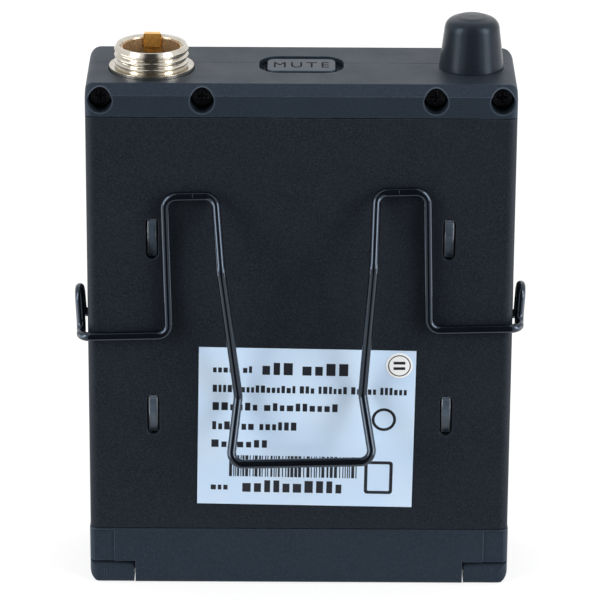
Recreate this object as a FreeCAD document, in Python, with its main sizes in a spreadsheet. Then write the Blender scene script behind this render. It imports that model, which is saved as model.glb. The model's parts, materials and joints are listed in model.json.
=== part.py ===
import FreeCAD, Part
import math
import os

import Sketcher
from FreeCAD import Rotation, Vector

# Wireless bodypack transmitter, millimetres. +Z is up, +X is to the right seen
# from behind, -Y is the back, which carries the belt clip, and +Y is the front,
# which carries the display and the battery door. The origin is in the middle of
# the foot of the case.

SIZES = [
    ("case_width", 65.2, "case, side to side"),
    ("case_depth", 21.0, "case, back to front"),
    ("case_height", 81.5, "foot to the flat top of the head"),
    ("tail_height", 9.3, "foot to the lower seam"),
    ("head_height", 4.8, "upper seam to the flat top"),
    ("seam_gap", 0.15, "open line between sleeve, head and tail"),
    ("fit_gap", 0.1, "slip fit of a spigot in the sleeve"),
    ("overcut", 1.0, "how far a cut runs past the wall it opens"),
    ("sleeve_wall", 1.2, "metal sleeve"),
    ("sleeve_corner", 1.45, "upright corners of the sleeve"),
    ("tail_proud", 0.1, "tail and head stand out from the sleeve"),
    ("spigot_depth", 1.5, "head spigot inside the sleeve"),
    ("spigot_wall", 1.0, "wall of both spigots"),
    # rear slots and the snap tabs of the battery tray
    ("slot_x", 22.6, "slot to the middle of the case"),
    ("slot_low_z", 28.45, "lower slots"),
    ("slot_pitch", 28.9, "lower to upper slots"),
    ("slot_width", 1.95, "rounded slot"),
    ("slot_height", 6.7, "rounded slot, end to end"),
    ("tab_gap", 0.3, "tab to the slot's wall"),
    ("tab_sink", 0.15, "tab below the sleeve's face"),
    ("tab_ramp", 0.75, "how far a tab slopes in at its foot"),
    # head
    ("part_y", 1.9, "parting line of the two head shells"),
    ("part_gap", 0.08, "open line between the head shells"),
    ("head_round", 1.3, "edges of the head"),
    ("front_corner", 3.2, "upright front corners of the head"),
    ("front_round", 0.5, "top edges of the front half of the head"),
    ("bevel_depth", 2.0, "slope on the back of the head, along Y"),
    ("bevel_drop", 1.4, "slope on the back of the head, along Z"),
    ("head_wall", 1.6, "upright walls of the head"),
    ("top_wall", 1.9, "top of the head"),
    ("screw_rise", 2.5, "screws above the upper seam"),
    ("screw_x_one", -30.3, "first screw from the left"),
    ("screw_x_two", -14.95, "second screw"),
    ("screw_x_three", 20.25, "third screw"),
    ("screw_x_four", 30.3, "fourth screw"),
    ("recess_diameter", 3.7, "sunk screw hole"),
    ("recess_depth", 4.2, "sunk screw hole, back face to seat"),
    ("screw_head_diameter", 2.9, "pan head"),
    ("screw_head_height", 1.3, "pan head"),
    ("screw_diameter", 1.6, "shank"),
    ("screw_length", 11.0, "shank below the head"),
    ("screw_play", 0.1, "shank in its clearance hole, on the radius"),
    ("thread_play", 0.02, "thread in its tapped hole, on the radius"),
    ("boss_half", 2.0, "solid left each side of a screw"),
    ("cross_width", 0.45, "cross recess, blade width"),
    ("cross_length", 1.9, "cross recess, tip to tip"),
    ("cross_depth", 0.8, "cross recess"),
    # mute button
    ("button_y", 1.1, "middle of the button, along Y"),
    ("button_length", 10.4, "button, along X"),
    ("button_width", 6.3, "button, along Y"),
    ("button_corner", 1.2, "corners of the button"),
    ("button_sink", 0.05, "button below the head's top"),
    ("button_gap", 0.15, "button to the edge of its aperture"),
    ("button_lip", 0.8, "flange past the button"),
    ("button_flange", 0.75, "flange thickness"),
    ("button_travel", 0.5, "mute button travel"),
    ("scoop_length", 12.9, "dish round the button, along X"),
    ("scoop_width", 8.5, "dish round the button, along Y"),
    ("scoop_corner", 3.2, "corners of the dish"),
    ("scoop_depth", 1.1, "dish round the button"),
    ("switch_side", 6.0, "tact switch, square"),
    ("mute_switch_height", 2.1, "tact switch under the mute button"),
    ("mute_plunger_diameter", 2.4, "its plunger"),
    ("plunger_play", 0.08, "plunger in its bore, on the radius"),
    ("bore_floor", 0.25, "plunger bore beyond the full travel"),
    ("plunger_hold", 0.7, "plunger inside its switch at rest"),
    # microphone connector
    ("plug_x", -22.8, "connector axis"),
    ("plug_y", -0.9, "connector axis"),
    ("plug_rise", 3.85, "rim above the head"),
    ("thread_diameter", 11.3, "outside of the thread"),
    ("thread_pitch", 1.0, "thread ridges"),
    ("thread_cut", 0.36, "depth of the thread"),
    ("thread_count", 3, "ridges above the flange"),
    ("flange_diameter", 12.9, "flange in the head"),
    ("flange_height", 0.95, "flange in the head"),
    ("flange_sink", 0.4, "flange below the head's top"),
    ("neck_diameter", 10.4, "threaded neck through the head"),
    ("neck_depth", 9.0, "neck below the head's top"),
    ("shell_bore", 9.3, "bore of the shell"),
    ("rim_chamfer", 0.35, "inner edge of the rim"),
    ("liner_diameter", 8.8, "bore of the ground liner"),
    ("liner_sink", 0.45, "liner below the rim"),
    ("key_width", 2.6, "keyway in the far wall"),
    ("key_rise", 0.35, "brass key above the rim"),
    ("key_height", 2.1, "brass key"),
    ("key_inset", 0.5, "brass key into the bore"),
    ("key_skin", 0.2, "metal left outside the keyway"),
    ("insert_height", 4.0, "contact carrier"),
    ("insert_depth", 8.2, "carrier's foot below the head's top"),
    ("pin_diameter", 0.8, "contact pin"),
    ("pin_circle", 3.9, "circle of the contact pins"),
    ("pin_rise", 1.0, "pin tips above the head's top"),
    ("pin_tail", 2.0, "solder ends below the carrier"),
    ("nut_diameter", 13.4, "ring nut under the head"),
    ("nut_height", 1.4, "ring nut under the head"),
    # antenna
    ("aerial_x", 25.9, "antenna axis"),
    ("aerial_y", 0.7, "antenna axis"),
    ("cap_base_diameter", 9.9, "foot of the cap"),
    ("cap_shoulder_diameter", 8.1, "cap below its shoulder"),
    ("cap_shoulder", 7.3, "side of the cap"),
    ("cap_height", 8.2, "head to the cap's crown"),
    ("cap_round", 1.7, "shoulder of the cap"),
    ("cap_wall", 1.3, "cap"),
    ("stud_diameter", 3.9, "brass stud"),
    ("stud_rise", 1.4, "stud above the head"),
    ("collar_diameter", 6.4, "collar on the stud"),
    ("collar_height", 0.8, "collar on the stud"),
    ("core_diameter", 3.4, "former inside the coil"),
    ("core_top", 6.0, "former's top above the head"),
    ("coil_wire", 0.5, "coil wire"),
    ("coil_turns", 5, "coil"),
    # belt clip, one bent spring wire
    ("wire_diameter", 1.4, "clip wire"),
    ("wire_bend", 1.8, "middle line of a bend"),
    ("eye_bend", 0.9, "middle line of the bend into the side wall"),
    ("clip_shift", -0.16, "clip off the middle of the case"),
    ("clip_tilt", 1.5, "clip turned in its holes, degrees"),
    ("wire_gap", 0.3, "wire to the case"),
    ("run_z", 42.5, "cross run that hooks round the case"),
    ("upright_x", 19.9, "uprights to the middle of the clip"),
    ("bridge_z", 64.95, "upper bridges"),
    ("bridge_cut", 15.6, "where the bridge starts to twist"),
    ("leg_x", 12.2, "tongue leg at its top"),
    ("knee_x", 11.5, "tongue leg at its outer knee"),
    ("knee_z", 54.8, "outer knee"),
    ("knee_reach", 6.8, "outer knee, out from the back face"),
    ("heel_x", 9.55, "tongue leg at its heel"),
    ("heel_z", 32.5, "heel"),
    ("heel_reach", 1.8, "heel, out from the back face"),
    ("lip_x", 11.0, "corner of the tongue's lower bar"),
    ("lip_z", 23.0, "lower bar"),
    ("lip_reach", 6.1, "lower bar, out from the back face"),
    ("hook_y", -8.3, "rising part of the side hook"),
    ("hook_z", 48.2, "top of the side hook"),
    ("hook_skew", 0.38, "left hook lower and right hook higher"),
    ("hook_flare", 0.3, "side hook leans out towards its top"),
    ("eye_y", -5.1, "hole in the side wall for the wire's end"),
    ("eye_z", 43.3, "hole in the side wall"),
    ("eye_play", 0.05, "wire in its hole, on the radius"),
    ("wire_end", 1.4, "wire's end inside the side wall"),
    # battery door
    ("door_width", 56.0, "door panel"),
    ("door_height", 56.0, "door panel"),
    ("door_wall", 1.5, "door panel"),
    ("door_gap", 0.15, "door to the edges round it"),
    ("door_corner", 1.5, "upper corners of the door"),
    ("arm_x", 25.8, "inner side of a hinge arm"),
    ("arm_height", 3.5, "hinge arm and its barrel"),
    ("arm_gap", 0.2, "hinge arm to the tail above it"),
    ("arm_side_gap", 0.2, "hinge arm to the tail beside it"),
    ("arm_round", 2.0, "lower outer corner of the door"),
    ("arm_heel", 0.6, "lower back edge of a hinge arm"),
    ("arm_crown", 1.6, "upper back edge of a hinge arm"),
    ("arm_line_x", 30.3, "fine groove across the back of an arm"),
    ("arm_line", 0.12, "fine groove, width and depth"),
    ("thumb_width", 12.0, "thumb notch in the door"),
    ("thumb_height", 2.4, "thumb notch in the door"),
    ("thumb_depth", 0.7, "thumb notch in the door"),
    ("hinge_pin_diameter", 1.5, "hinge pin"),
    ("hinge_play", 0.05, "pin in the door's bore, on the radius"),
    ("hinge_pin_inner", 21.0, "pin's inner end"),
    ("hinge_pin_outer", 30.6, "pin's outer end"),
    # tail frame
    ("tail_floor", 1.8, "floor of the tail"),
    ("tail_wall", 1.2, "walls inside the tail"),
    ("tail_edge", 0.6, "lower back edge"),
    ("tail_lip", 0.25, "upper outer edge"),
    ("tail_spigot", 2.0, "tail spigot inside the sleeve"),
    ("hinge_block", 3.6, "solid behind the hinge pins, from the back face"),
    ("cheek_width", 3.75, "strip at each side of the tail's back"),
    ("cheek_step", 0.2, "strip set back from the face"),
    # batteries and tray
    ("cell_diameter", 14.5, "AA cell"),
    ("cell_length", 50.5, "AA cell with its nub"),
    ("nub_diameter", 5.5, "AA nub"),
    ("nub_height", 1.0, "AA nub"),
    ("cell_x", 7.6, "cell to the middle of the case"),
    ("cell_low", 5.0, "foot of the cells"),
    ("cell_gap", 0.15, "cell to the tray"),
    ("tray_wall", 1.0, "battery tray"),
    ("tray_half", 26.0, "battery tray, to the middle of the case"),
    ("tray_front", 6.4, "front edge of the tray's side walls"),
    ("bulkhead_low", 57.6, "wall above the cells"),
    ("bulkhead_high", 59.3, "wall above the cells"),
    ("bulkhead_front", 4.6, "front edge of the wall above the cells"),
    ("lug_width", 6.0, "rests for the main board"),
    ("pad_width", 24.0, "foam pad on the door"),
    ("pad_low", 14.0, "foam pad on the door"),
    ("pad_high", 50.0, "foam pad on the door"),
    ("pad_gap", 0.2, "pad to the cells"),
    ("strip_width", 8.0, "battery contact strips"),
    ("strip_wall", 0.3, "battery contact strips"),
    ("strip_gap", 0.05, "contact to the cell"),
    ("riser_top", 61.3, "contact strips up the main board"),
    ("coil_spring_radius", 2.5, "battery springs, middle line"),
    ("spring_wire", 0.45, "battery springs"),
    ("spring_turns", 3, "battery spring in the tail"),
    ("top_spring_turns", 2, "shorter battery spring at the top"),
    # boards, display and keys
    ("board_wall", 1.0, "circuit boards"),
    ("board_y", 5.6, "back face of the main board"),
    ("board_half", 28.0, "main board, to the middle of the case"),
    ("board_top", 75.0, "main board"),
    ("board_seat", 0.1, "main board above its rests"),
    ("shelf_left", -12.0, "switch board, left end"),
    ("shelf_right", 29.5, "switch board, right end"),
    ("shelf_gap", 0.1, "switch board to the main board"),
    ("header_half", 9.0, "board header, to the middle of the case"),
    ("header_side", 2.5, "board header"),
    ("can_left", 10.0, "radio shield"),
    ("can_right", 26.0, "radio shield"),
    ("can_low", 61.5, "radio shield"),
    ("can_high", 71.0, "radio shield"),
    ("can_depth", 3.6, "radio shield"),
    ("window_x", -8.0, "middle of the display"),
    ("window_z", 67.2, "middle of the display and the keys"),
    ("window_width", 27.0, "display window"),
    ("window_height", 10.5, "display window"),
    ("window_lip", 1.2, "window flange behind the sleeve"),
    ("window_flange", 0.8, "window flange"),
    ("window_sink", 0.15, "window below the sleeve's face"),
    ("display_wall", 1.6, "display module"),
    ("power_key_x", 14.0, "power key"),
    ("set_key_x", 22.6, "set key"),
    ("key_diameter", 4.8, "keys"),
    ("key_play", 0.12, "key in its hole, on the radius"),
    ("key_lip", 0.6, "key flange past the key"),
    ("key_flange", 0.7, "key flange"),
    ("key_proud", 0.45, "keys stand out from the sleeve"),
    ("key_travel", 0.35, "key travel"),
    ("key_switch_height", 1.2, "tact switch under a key"),
    ("key_plunger_diameter", 1.8, "its plunger"),
    ("key_plunger_hold", 0.6, "plunger inside its switch at rest"),
    ("key_bore_floor", 0.15, "plunger bore beyond the full travel"),
    # labels
    ("label_width", 33.4, "rating label"),
    ("label_height", 26.1, "rating label"),
    ("label_wall", 0.12, "rating label"),
    ("label_x", 1.0, "middle of the label"),
    ("label_z", 26.4, "middle of the label"),
    ("label_tilt", 0.85, "label turned by hand, degrees"),
    ("dot_diameter", 4.1, "inspection sticker"),
    ("dot_wall", 0.06, "inspection sticker"),
    ("dot_x", 14.3, "sticker to the middle of the label"),
    ("dot_z", 10.4, "sticker to the middle of the label"),
]

doc = FreeCAD.newDocument("BodypackTransmitter")
sheet = doc.addObject("Spreadsheet::Sheet", "Sizes")
for row, (alias, number, note) in enumerate(SIZES, start=1):
    sheet.set("A%d" % row, alias)
    sheet.set("B%d" % row, str(number))
    sheet.set("C%d" % row, note)
    sheet.setAlias("B%d" % row, alias)
doc.recompute()


class Size:
    """A length that keeps both its number and the sheet formula it comes from."""

    def __init__(self, number, formula):
        self.number = float(number)
        self.formula = formula

    def __add__(self, other):
        other = as_size(other)
        return Size(self.number + other.number, "(%s + %s)" % (self.formula, other.formula))

    def __sub__(self, other):
        other = as_size(other)
        return Size(self.number - other.number, "(%s - %s)" % (self.formula, other.formula))

    def __mul__(self, other):
        other = as_size(other)
        return Size(self.number * other.number, "(%s * %s)" % (self.formula, other.formula))

    def __truediv__(self, other):
        other = as_size(other)
        return Size(self.number / other.number, "(%s / %s)" % (self.formula, other.formula))

    def __radd__(self, other):
        return as_size(other) + self

    def __rsub__(self, other):
        return as_size(other) - self

    def __rmul__(self, other):
        return as_size(other) * self

    def __neg__(self):
        return self * -1

    def __float__(self):
        return self.number


def as_size(value):
    return value if isinstance(value, Size) else Size(value, repr(float(value)))


class SheetSizes:
    """The sheet's cells by their aliases."""

    def __getattr__(self, alias):
        return Size(sheet.get(alias), "Sizes." + alias)


S = SheetSizes()
nodes = []


def tie(thing, path, size):
    thing.setExpression(path, as_size(size).formula)


def keep(thing, label):
    thing.Label = label
    nodes.append(thing)
    return thing


# ---- sketches and features of a body

PLANES = {"x": ("YZ_Plane", 1), "y": ("XZ_Plane", -1), "z": ("XY_Plane", 1)}


def new_body(label, x=0, y=0, z=0):
    body = doc.addObject("PartDesign::Body", "".join(word.capitalize() for word in label.split("_")))
    for axis, size in zip("xyz", (x, y, z)):
        tie(body, ".Placement.Base." + axis, size)
    return keep(body, label)


def new_sketch(body, axis, level):
    role, sense = PLANES[axis]
    plane = next(item for item in body.Origin.OriginFeatures if item.Role == role)
    sketch = body.newObject("Sketcher::SketchObject", body.Name + "Sketch")
    sketch.AttachmentSupport = [(plane, "")]
    sketch.MapMode = "FlatFace"
    tie(sketch, "AttachmentOffset.Base.z", as_size(level) * sense)
    return sketch


def hold(sketch, kind, *references):
    size = as_size(references[-1])
    index = sketch.addConstraint(Sketcher.Constraint(kind, *references[:-1], size.number))
    tie(sketch, "Constraints[%d]" % index, size)


def hold_point(sketch, edge, end, point):
    hold(sketch, "DistanceX", -1, 1, edge, end, point[0])
    hold(sketch, "DistanceY", -1, 1, edge, end, point[1])


def flat(point):
    return Vector(float(point[0]), float(point[1]), 0)


def draw_polygon(sketch, points):
    first = sketch.GeometryCount
    for index, start in enumerate(points):
        stop = points[(index + 1) % len(points)]
        edge = sketch.addGeometry(Part.LineSegment(flat(start), flat(stop)), False)
        hold_point(sketch, edge, 1, start)
    for index in range(len(points)):
        after = first + (index + 1) % len(points)
        sketch.addConstraint(Sketcher.Constraint("Coincident", first + index, 2, after, 1))


def draw_rectangle(sketch, left, right, low, high):
    draw_polygon(sketch, [(left, low), (right, low), (right, high), (left, high)])


def draw_circle(sketch, x, y, diameter):
    centre = flat((x, y))
    edge = sketch.addGeometry(Part.Circle(centre, Vector(0, 0, 1), float(diameter) / 2), False)
    hold_point(sketch, edge, 3, (x, y))
    hold(sketch, "Radius", edge, as_size(diameter) / 2)


def draw_rounded(sketch, left, right, low, high, radius):
    """A rectangle with round corners: four sides, then the four arcs between them."""
    left, right, low, high, radius = map(as_size, (left, right, low, high, radius))
    sides = [((left + radius, low), (right - radius, low)), ((right, low + radius), (right, high - radius)),
             ((right - radius, high), (left + radius, high)), ((left, high - radius), (left, low + radius))]
    centres = [(right - radius, low + radius), (right - radius, high - radius),
               (left + radius, high - radius), (left + radius, low + radius)]
    first = sketch.GeometryCount
    for start, stop in sides:
        edge = sketch.addGeometry(Part.LineSegment(flat(start), flat(stop)), False)
        hold_point(sketch, edge, 1, start)
        hold_point(sketch, edge, 2, stop)
    for turn, centre in enumerate(centres):
        circle = Part.Circle(flat(centre), Vector(0, 0, 1), float(radius))
        angle = (turn - 1) * math.pi / 2
        arc = sketch.addGeometry(Part.ArcOfCircle(circle, angle, angle + math.pi / 2), False)
        sketch.addConstraint(Sketcher.Constraint("Coincident", arc, 1, first + turn, 2))
        sketch.addConstraint(Sketcher.Constraint("Coincident", arc, 2, first + (turn + 1) % 4, 1))
        hold(sketch, "Radius", arc, radius)


def draw_slot(sketch, x, middle, width, height):
    """An upright slot with half-round ends."""
    x, middle, radius = as_size(x), as_size(middle), as_size(width) / 2
    reach = as_size(height) / 2 - radius
    right = sketch.addGeometry(Part.LineSegment(flat((x + radius, middle - reach)),
                                                flat((x + radius, middle + reach))), False)
    left = sketch.addGeometry(Part.LineSegment(flat((x - radius, middle + reach)),
                                               flat((x - radius, middle - reach))), False)
    for edge, side, sense in ((right, radius, 1), (left, -radius, -1)):
        hold_point(sketch, edge, 1, (x + side, middle - reach * sense))
        hold_point(sketch, edge, 2, (x + side, middle + reach * sense))
    for before, after, sense, angle in ((right, left, 1, 0), (left, right, -1, math.pi)):
        circle = Part.Circle(flat((x, middle + reach * sense)), Vector(0, 0, 1), float(radius))
        arc = sketch.addGeometry(Part.ArcOfCircle(circle, angle, angle + math.pi), False)
        sketch.addConstraint(Sketcher.Constraint("Coincident", arc, 1, before, 2))
        sketch.addConstraint(Sketcher.Constraint("Coincident", arc, 2, after, 1))
        hold(sketch, "DistanceY", -1, 1, arc, 3, middle + reach * sense)


def draw_corner(sketch, x, y, inward_x, inward_y, radius):
    """What rounding takes off a square corner: two straight edges and the arc between their ends."""
    x, y, radius = map(as_size, (x, y, radius))
    along, up = (x + radius * inward_x, y), (x, y + radius * inward_y)
    over = (x - S.overcut * inward_x, y - S.overcut * inward_y)
    outline = [along, (along[0], over[1]), over, (over[0], up[1]), up]
    first = sketch.GeometryCount
    for start, stop in zip(outline, outline[1:]):
        edge = sketch.addGeometry(Part.LineSegment(flat(start), flat(stop)), False)
        hold_point(sketch, edge, 1, start)
        if edge > first:
            sketch.addConstraint(Sketcher.Constraint("Coincident", edge - 1, 2, edge, 1))
    hold_point(sketch, edge, 2, up)
    centre = (x + radius * inward_x, y + radius * inward_y)
    start, stop = math.atan2(0, -inward_x), math.atan2(-inward_y, 0)
    begins = (edge, 2), (first, 1)
    if (stop - start) % (2 * math.pi) > math.pi:
        start, stop, begins = stop, start, (begins[1], begins[0])
    circle = Part.Circle(flat(centre), Vector(0, 0, 1), float(radius))
    arc = sketch.addGeometry(Part.ArcOfCircle(circle, start, stop), False)
    for end, (line, line_end) in zip((1, 2), begins):
        sketch.addConstraint(Sketcher.Constraint("Coincident", arc, end, line, line_end))
    hold(sketch, "Radius", arc, radius)


def pad(body, axis, low, high, draw, *measures):
    low, high = as_size(low), as_size(high)
    sketch = new_sketch(body, axis, low if PLANES[axis][1] > 0 else high)
    draw(sketch, *measures)
    feature = body.newObject("PartDesign::Pad", body.Name + "Pad")
    feature.Profile = sketch
    tie(feature, "Length", high - low)
    return feature


def pocket(body, axis, low, high, draw, *measures):
    low, high = as_size(low), as_size(high)
    sketch = new_sketch(body, axis, high if PLANES[axis][1] > 0 else low)
    draw(sketch, *measures)
    feature = body.newObject("PartDesign::Pocket", body.Name + "Pocket")
    feature.Profile = sketch
    tie(feature, "Length", high - low)
    return feature


def revolve(body, points):
    """Turn an outline of (radius, height) points round the body's own Z axis."""
    sketch = new_sketch(body, "y", 0)
    draw_polygon(sketch, points)
    feature = body.newObject("PartDesign::Revolution", body.Name + "Turned")
    feature.Profile = sketch
    feature.ReferenceAxis = (sketch, ["V_Axis"])
    feature.Angle = 360
    return feature


def ends(edge):
    return [vertex.Point for vertex in edge.Vertexes]


def lies_at(edge, **places):
    """True where every end of the edge has the given x, y or z."""
    return all(abs(getattr(point, axis) - float(place)) < 0.01
               for point in ends(edge) for axis, place in places.items())


def runs_along(edge, axis):
    points = ends(edge)
    if len(points) != 2:
        return False
    step = points[1] - points[0]
    return step.Length > 0.01 and abs(getattr(step, axis)) > 0.999 * step.Length


def soften(body, radius, choose, kind="PartDesign::Fillet", prop="Radius"):
    doc.recompute()
    tip = body.Tip
    names = ["Edge%d" % (index + 1) for index, edge in enumerate(tip.Shape.Edges) if choose(edge)]
    if not names:
        raise RuntimeError(body.Label + ": no edge to soften")
    feature = body.newObject(kind, body.Name + kind.split("::")[1])
    feature.Base = (tip, names)
    tie(feature, prop, radius)
    return feature


# ---- primitives

TURNS = {"x": Rotation(Vector(0, 1, 0), 90), "y": Rotation(Vector(1, 0, 0), -90), "z": Rotation()}


def box(name, x, y, z):
    """A block between (low, high) pairs."""
    block = doc.addObject("Part::Box", name)
    for axis, prop, (low, high) in zip("xyz", ("Length", "Width", "Height"), (x, y, z)):
        tie(block, prop, as_size(high) - low)
        tie(block, ".Placement.Base." + axis, low)
    return block


def rod(name, axis, diameter, x, y, z):
    """A round bar: the place along its own axis is a (low, high) pair."""
    bar = doc.addObject("Part::Cylinder", name)
    bar.Placement.Rotation = TURNS[axis]
    tie(bar, "Radius", as_size(diameter) / 2)
    for letter, place in zip("xyz", (x, y, z)):
        if letter == axis:
            tie(bar, "Height", as_size(place[1]) - place[0])
            place = place[0]
        tie(bar, ".Placement.Base." + letter, place)
    return bar


def fuse(name, pieces):
    joined = doc.addObject("Part::MultiFuse", name)
    joined.Shapes = pieces
    return joined


def cut(name, base, tools):
    rest = doc.addObject("Part::Cut", name)
    rest.Base = base
    rest.Tool = tools[0] if len(tools) == 1 else fuse(name + "Tools", tools)
    return rest


def group(name, pieces):
    together = doc.addObject("Part::Compound", name)
    together.Links = pieces
    return together


def shape_node(label, shape):
    thing = doc.addObject("Part::Feature", "".join(word.capitalize() for word in label.split("_")))
    thing.Shape = shape
    thing.Placement = FreeCAD.Placement()
    return keep(thing, label)


def bent_wire(points, diameter, bends):
    """A round wire along straight runs, with an arc of its own radius at each corner."""
    edges = []
    start = points[0]
    for before, corner, after, bend in zip(points, points[1:], points[2:], bends):
        coming = (corner - before).normalize()
        going = (after - corner).normalize()
        turn = coming.getAngle(going)
        if turn < 0.02:
            continue
        trim = bend * math.tan(turn / 2)
        inward = (going - coming).normalize()
        middle = corner + inward * (bend / math.cos(turn / 2) - bend)
        edges.append(Part.LineSegment(start, corner - coming * trim).toShape())
        edges.append(Part.Arc(corner - coming * trim, middle, corner + going * trim).toShape())
        start = corner + going * trim
    edges.append(Part.LineSegment(start, points[-1]).toShape())
    section = Part.Wire(Part.Circle(points[0], points[1] - points[0], diameter / 2).toShape())
    return Part.Wire(edges).makePipeShell([section], True, False)


def coil(x, y, low, high, radius, wire, turns):
    """A round-wire coil between two heights."""
    rise = high - low - wire
    helix = Part.makeHelix(rise / turns, rise, radius)
    helix.translate(Vector(x, y, low + wire / 2))
    start = Vector(x + radius, y, low + wire / 2)
    section = Part.Wire(Part.Circle(start, Vector(0, 1, rise / turns / radius / 6.28), wire / 2).toShape())
    return Part.Wire(helix.Edges).makePipeShell([section], True, True)


def bent_coil(x, y, low, high, radius, wire, turns):
    """A round-wire coil bent in eight steps a turn, between two heights."""
    steps = int(turns * 8)
    rise = (high - low - wire) / steps
    reach = radius / math.cos(math.pi / 8)
    path = [Vector(x + reach * math.cos(step * math.pi / 4), y + reach * math.sin(step * math.pi / 4),
                   low + wire / 2 + rise * step) for step in range(steps + 1)]
    return bent_wire(path, wire, [radius * 0.9] * (len(path) - 2))


# ---- shared places

half = S.case_width / 2
back = -(S.case_depth / 2)
front = S.case_depth / 2
top = S.case_height
head_seam = S.case_height - S.head_height
head_low = head_seam + S.seam_gap / 2
sleeve_low = S.tail_height + S.seam_gap / 2
sleeve_high = head_seam - S.seam_gap / 2
tail_top = S.tail_height - S.seam_gap / 2
inner_half = half - S.sleeve_wall
inner_back = back + S.sleeve_wall
inner_front = front - S.sleeve_wall
spigot_half = inner_half - S.fit_gap
spigot_back = inner_back + S.fit_gap
spigot_front = inner_front - S.fit_gap
spigot_low = head_seam - S.spigot_depth
slot_heights = (S.slot_low_z, S.slot_low_z + S.slot_pitch)
screw_xs = (S.screw_x_one, S.screw_x_two, S.screw_x_three, S.screw_x_four)
screw_z = head_seam + S.screw_rise
screw_seat = back + S.recess_depth
outer_half = half + S.tail_proud
outer_back = back - S.tail_proud
outer_front = front + S.tail_proud
door_back = front - S.door_wall
door_half = S.door_width / 2
hinge_y = back + S.arm_height / 2
hinge_z = S.arm_height / 2
cell_y = spigot_back + S.tray_wall + S.cell_gap + S.cell_diameter / 2
shelf_high = spigot_low
shelf_low = shelf_high - S.board_wall
board_front = S.board_y + S.board_wall
floor_under_top = top - S.top_wall


def make_main_housing():
    body = new_body("main_housing")
    pad(body, "z", sleeve_low, sleeve_high, draw_rectangle, -half, half, back, front)
    soften(body, S.sleeve_corner, lambda edge: runs_along(edge, "z"))
    pocket(body, "z", sleeve_low - S.overcut, sleeve_high + S.overcut,
           draw_rectangle, -inner_half, inner_half, inner_back, inner_front)
    notch = door_half + S.door_gap
    pocket(body, "y", inner_front - S.overcut, front + S.overcut,
           draw_rectangle, -notch, notch, sleeve_low - S.overcut, S.door_height + S.door_gap)
    left, right = S.window_x - S.window_width / 2, S.window_x + S.window_width / 2
    low, high = S.window_z - S.window_height / 2, S.window_z + S.window_height / 2
    pocket(body, "y", inner_front - S.overcut, front + S.overcut, draw_rectangle, left, right, low, high)
    for key_x in (S.power_key_x, S.set_key_x):
        pocket(body, "y", inner_front - S.overcut, front + S.overcut,
               draw_circle, key_x, S.window_z, S.key_diameter + S.key_play * 2)
    for slot_x in (-S.slot_x, S.slot_x):
        for slot_z in slot_heights:
            pocket(body, "y", back - S.overcut, inner_back + S.overcut,
                   draw_slot, slot_x, slot_z, S.slot_width, S.slot_height)
    pocket(body, "x", -half - S.overcut, half + S.overcut,
           draw_circle, S.eye_y, S.eye_z, S.wire_diameter + S.eye_play * 2)


def open_head(body, low_y, high_y):
    """The cavities, the button's dish, the through holes and the screw holes of a head shell."""
    edge_low = low_y - S.overcut if low_y is not spigot_back else low_y + S.spigot_wall
    edge_high = high_y + S.overcut if high_y is not spigot_front else high_y - S.spigot_wall
    inside = spigot_half - S.spigot_wall
    pocket(body, "z", spigot_low - S.overcut, head_low, draw_rectangle, -inside, inside, edge_low, edge_high)
    wall_low = back + S.head_wall if low_y is spigot_back else low_y - S.overcut
    wall_high = front - S.head_wall if high_y is spigot_front else high_y + S.overcut
    for before, after in zip(screw_xs, screw_xs[1:]):
        pocket(body, "z", spigot_low - S.overcut, floor_under_top,
               draw_rectangle, before + S.boss_half, after - S.boss_half, wall_low, wall_high)
    scoop_x, scoop_y = S.scoop_length / 2, S.scoop_width / 2
    pocket(body, "z", top - S.scoop_depth, top + S.overcut, draw_rounded,
           -scoop_x, scoop_x, S.button_y - scoop_y, S.button_y + scoop_y, S.scoop_corner)
    reach_x = S.button_length / 2 + S.button_gap
    reach_y = S.button_width / 2 + S.button_gap
    pocket(body, "z", floor_under_top - S.overcut, top + S.overcut, draw_rounded,
           -reach_x, reach_x, S.button_y - reach_y, S.button_y + reach_y, S.button_corner)
    pocket(body, "z", spigot_low - S.overcut, top + S.overcut,
           draw_circle, S.plug_x, S.plug_y, S.neck_diameter + S.fit_gap * 2)
    pocket(body, "z", top - S.flange_sink, top + S.overcut,
           draw_circle, S.plug_x, S.plug_y, S.flange_diameter + S.fit_gap * 2)
    pocket(body, "z", floor_under_top - S.overcut, top + S.overcut,
           draw_circle, S.aerial_x, S.aerial_y, S.stud_diameter + S.fit_gap * 2)


def make_head_rear_shell():
    body = new_body("head_rear_shell")
    seam = S.part_y - S.part_gap / 2
    pad(body, "x", -half, half, draw_polygon,
        [(back, head_low), (seam, head_low), (seam, top), (back + S.bevel_depth, top), (back, top - S.bevel_drop)])
    soften(body, S.head_round, lambda edge: any(lies_at(edge, x=side) for side in (-half, half))
           and not lies_at(edge, z=head_low) and not lies_at(edge, y=seam))
    pad(body, "z", spigot_low, head_low, draw_rectangle, -spigot_half, spigot_half, spigot_back, seam)
    open_head(body, spigot_back, seam)
    for screw_x in screw_xs:
        pocket(body, "y", back - S.overcut, screw_seat, draw_circle, screw_x, screw_z, S.recess_diameter)
        pocket(body, "y", screw_seat - S.overcut, seam + S.overcut,
               draw_circle, screw_x, screw_z, S.screw_diameter + S.screw_play * 2)


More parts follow.
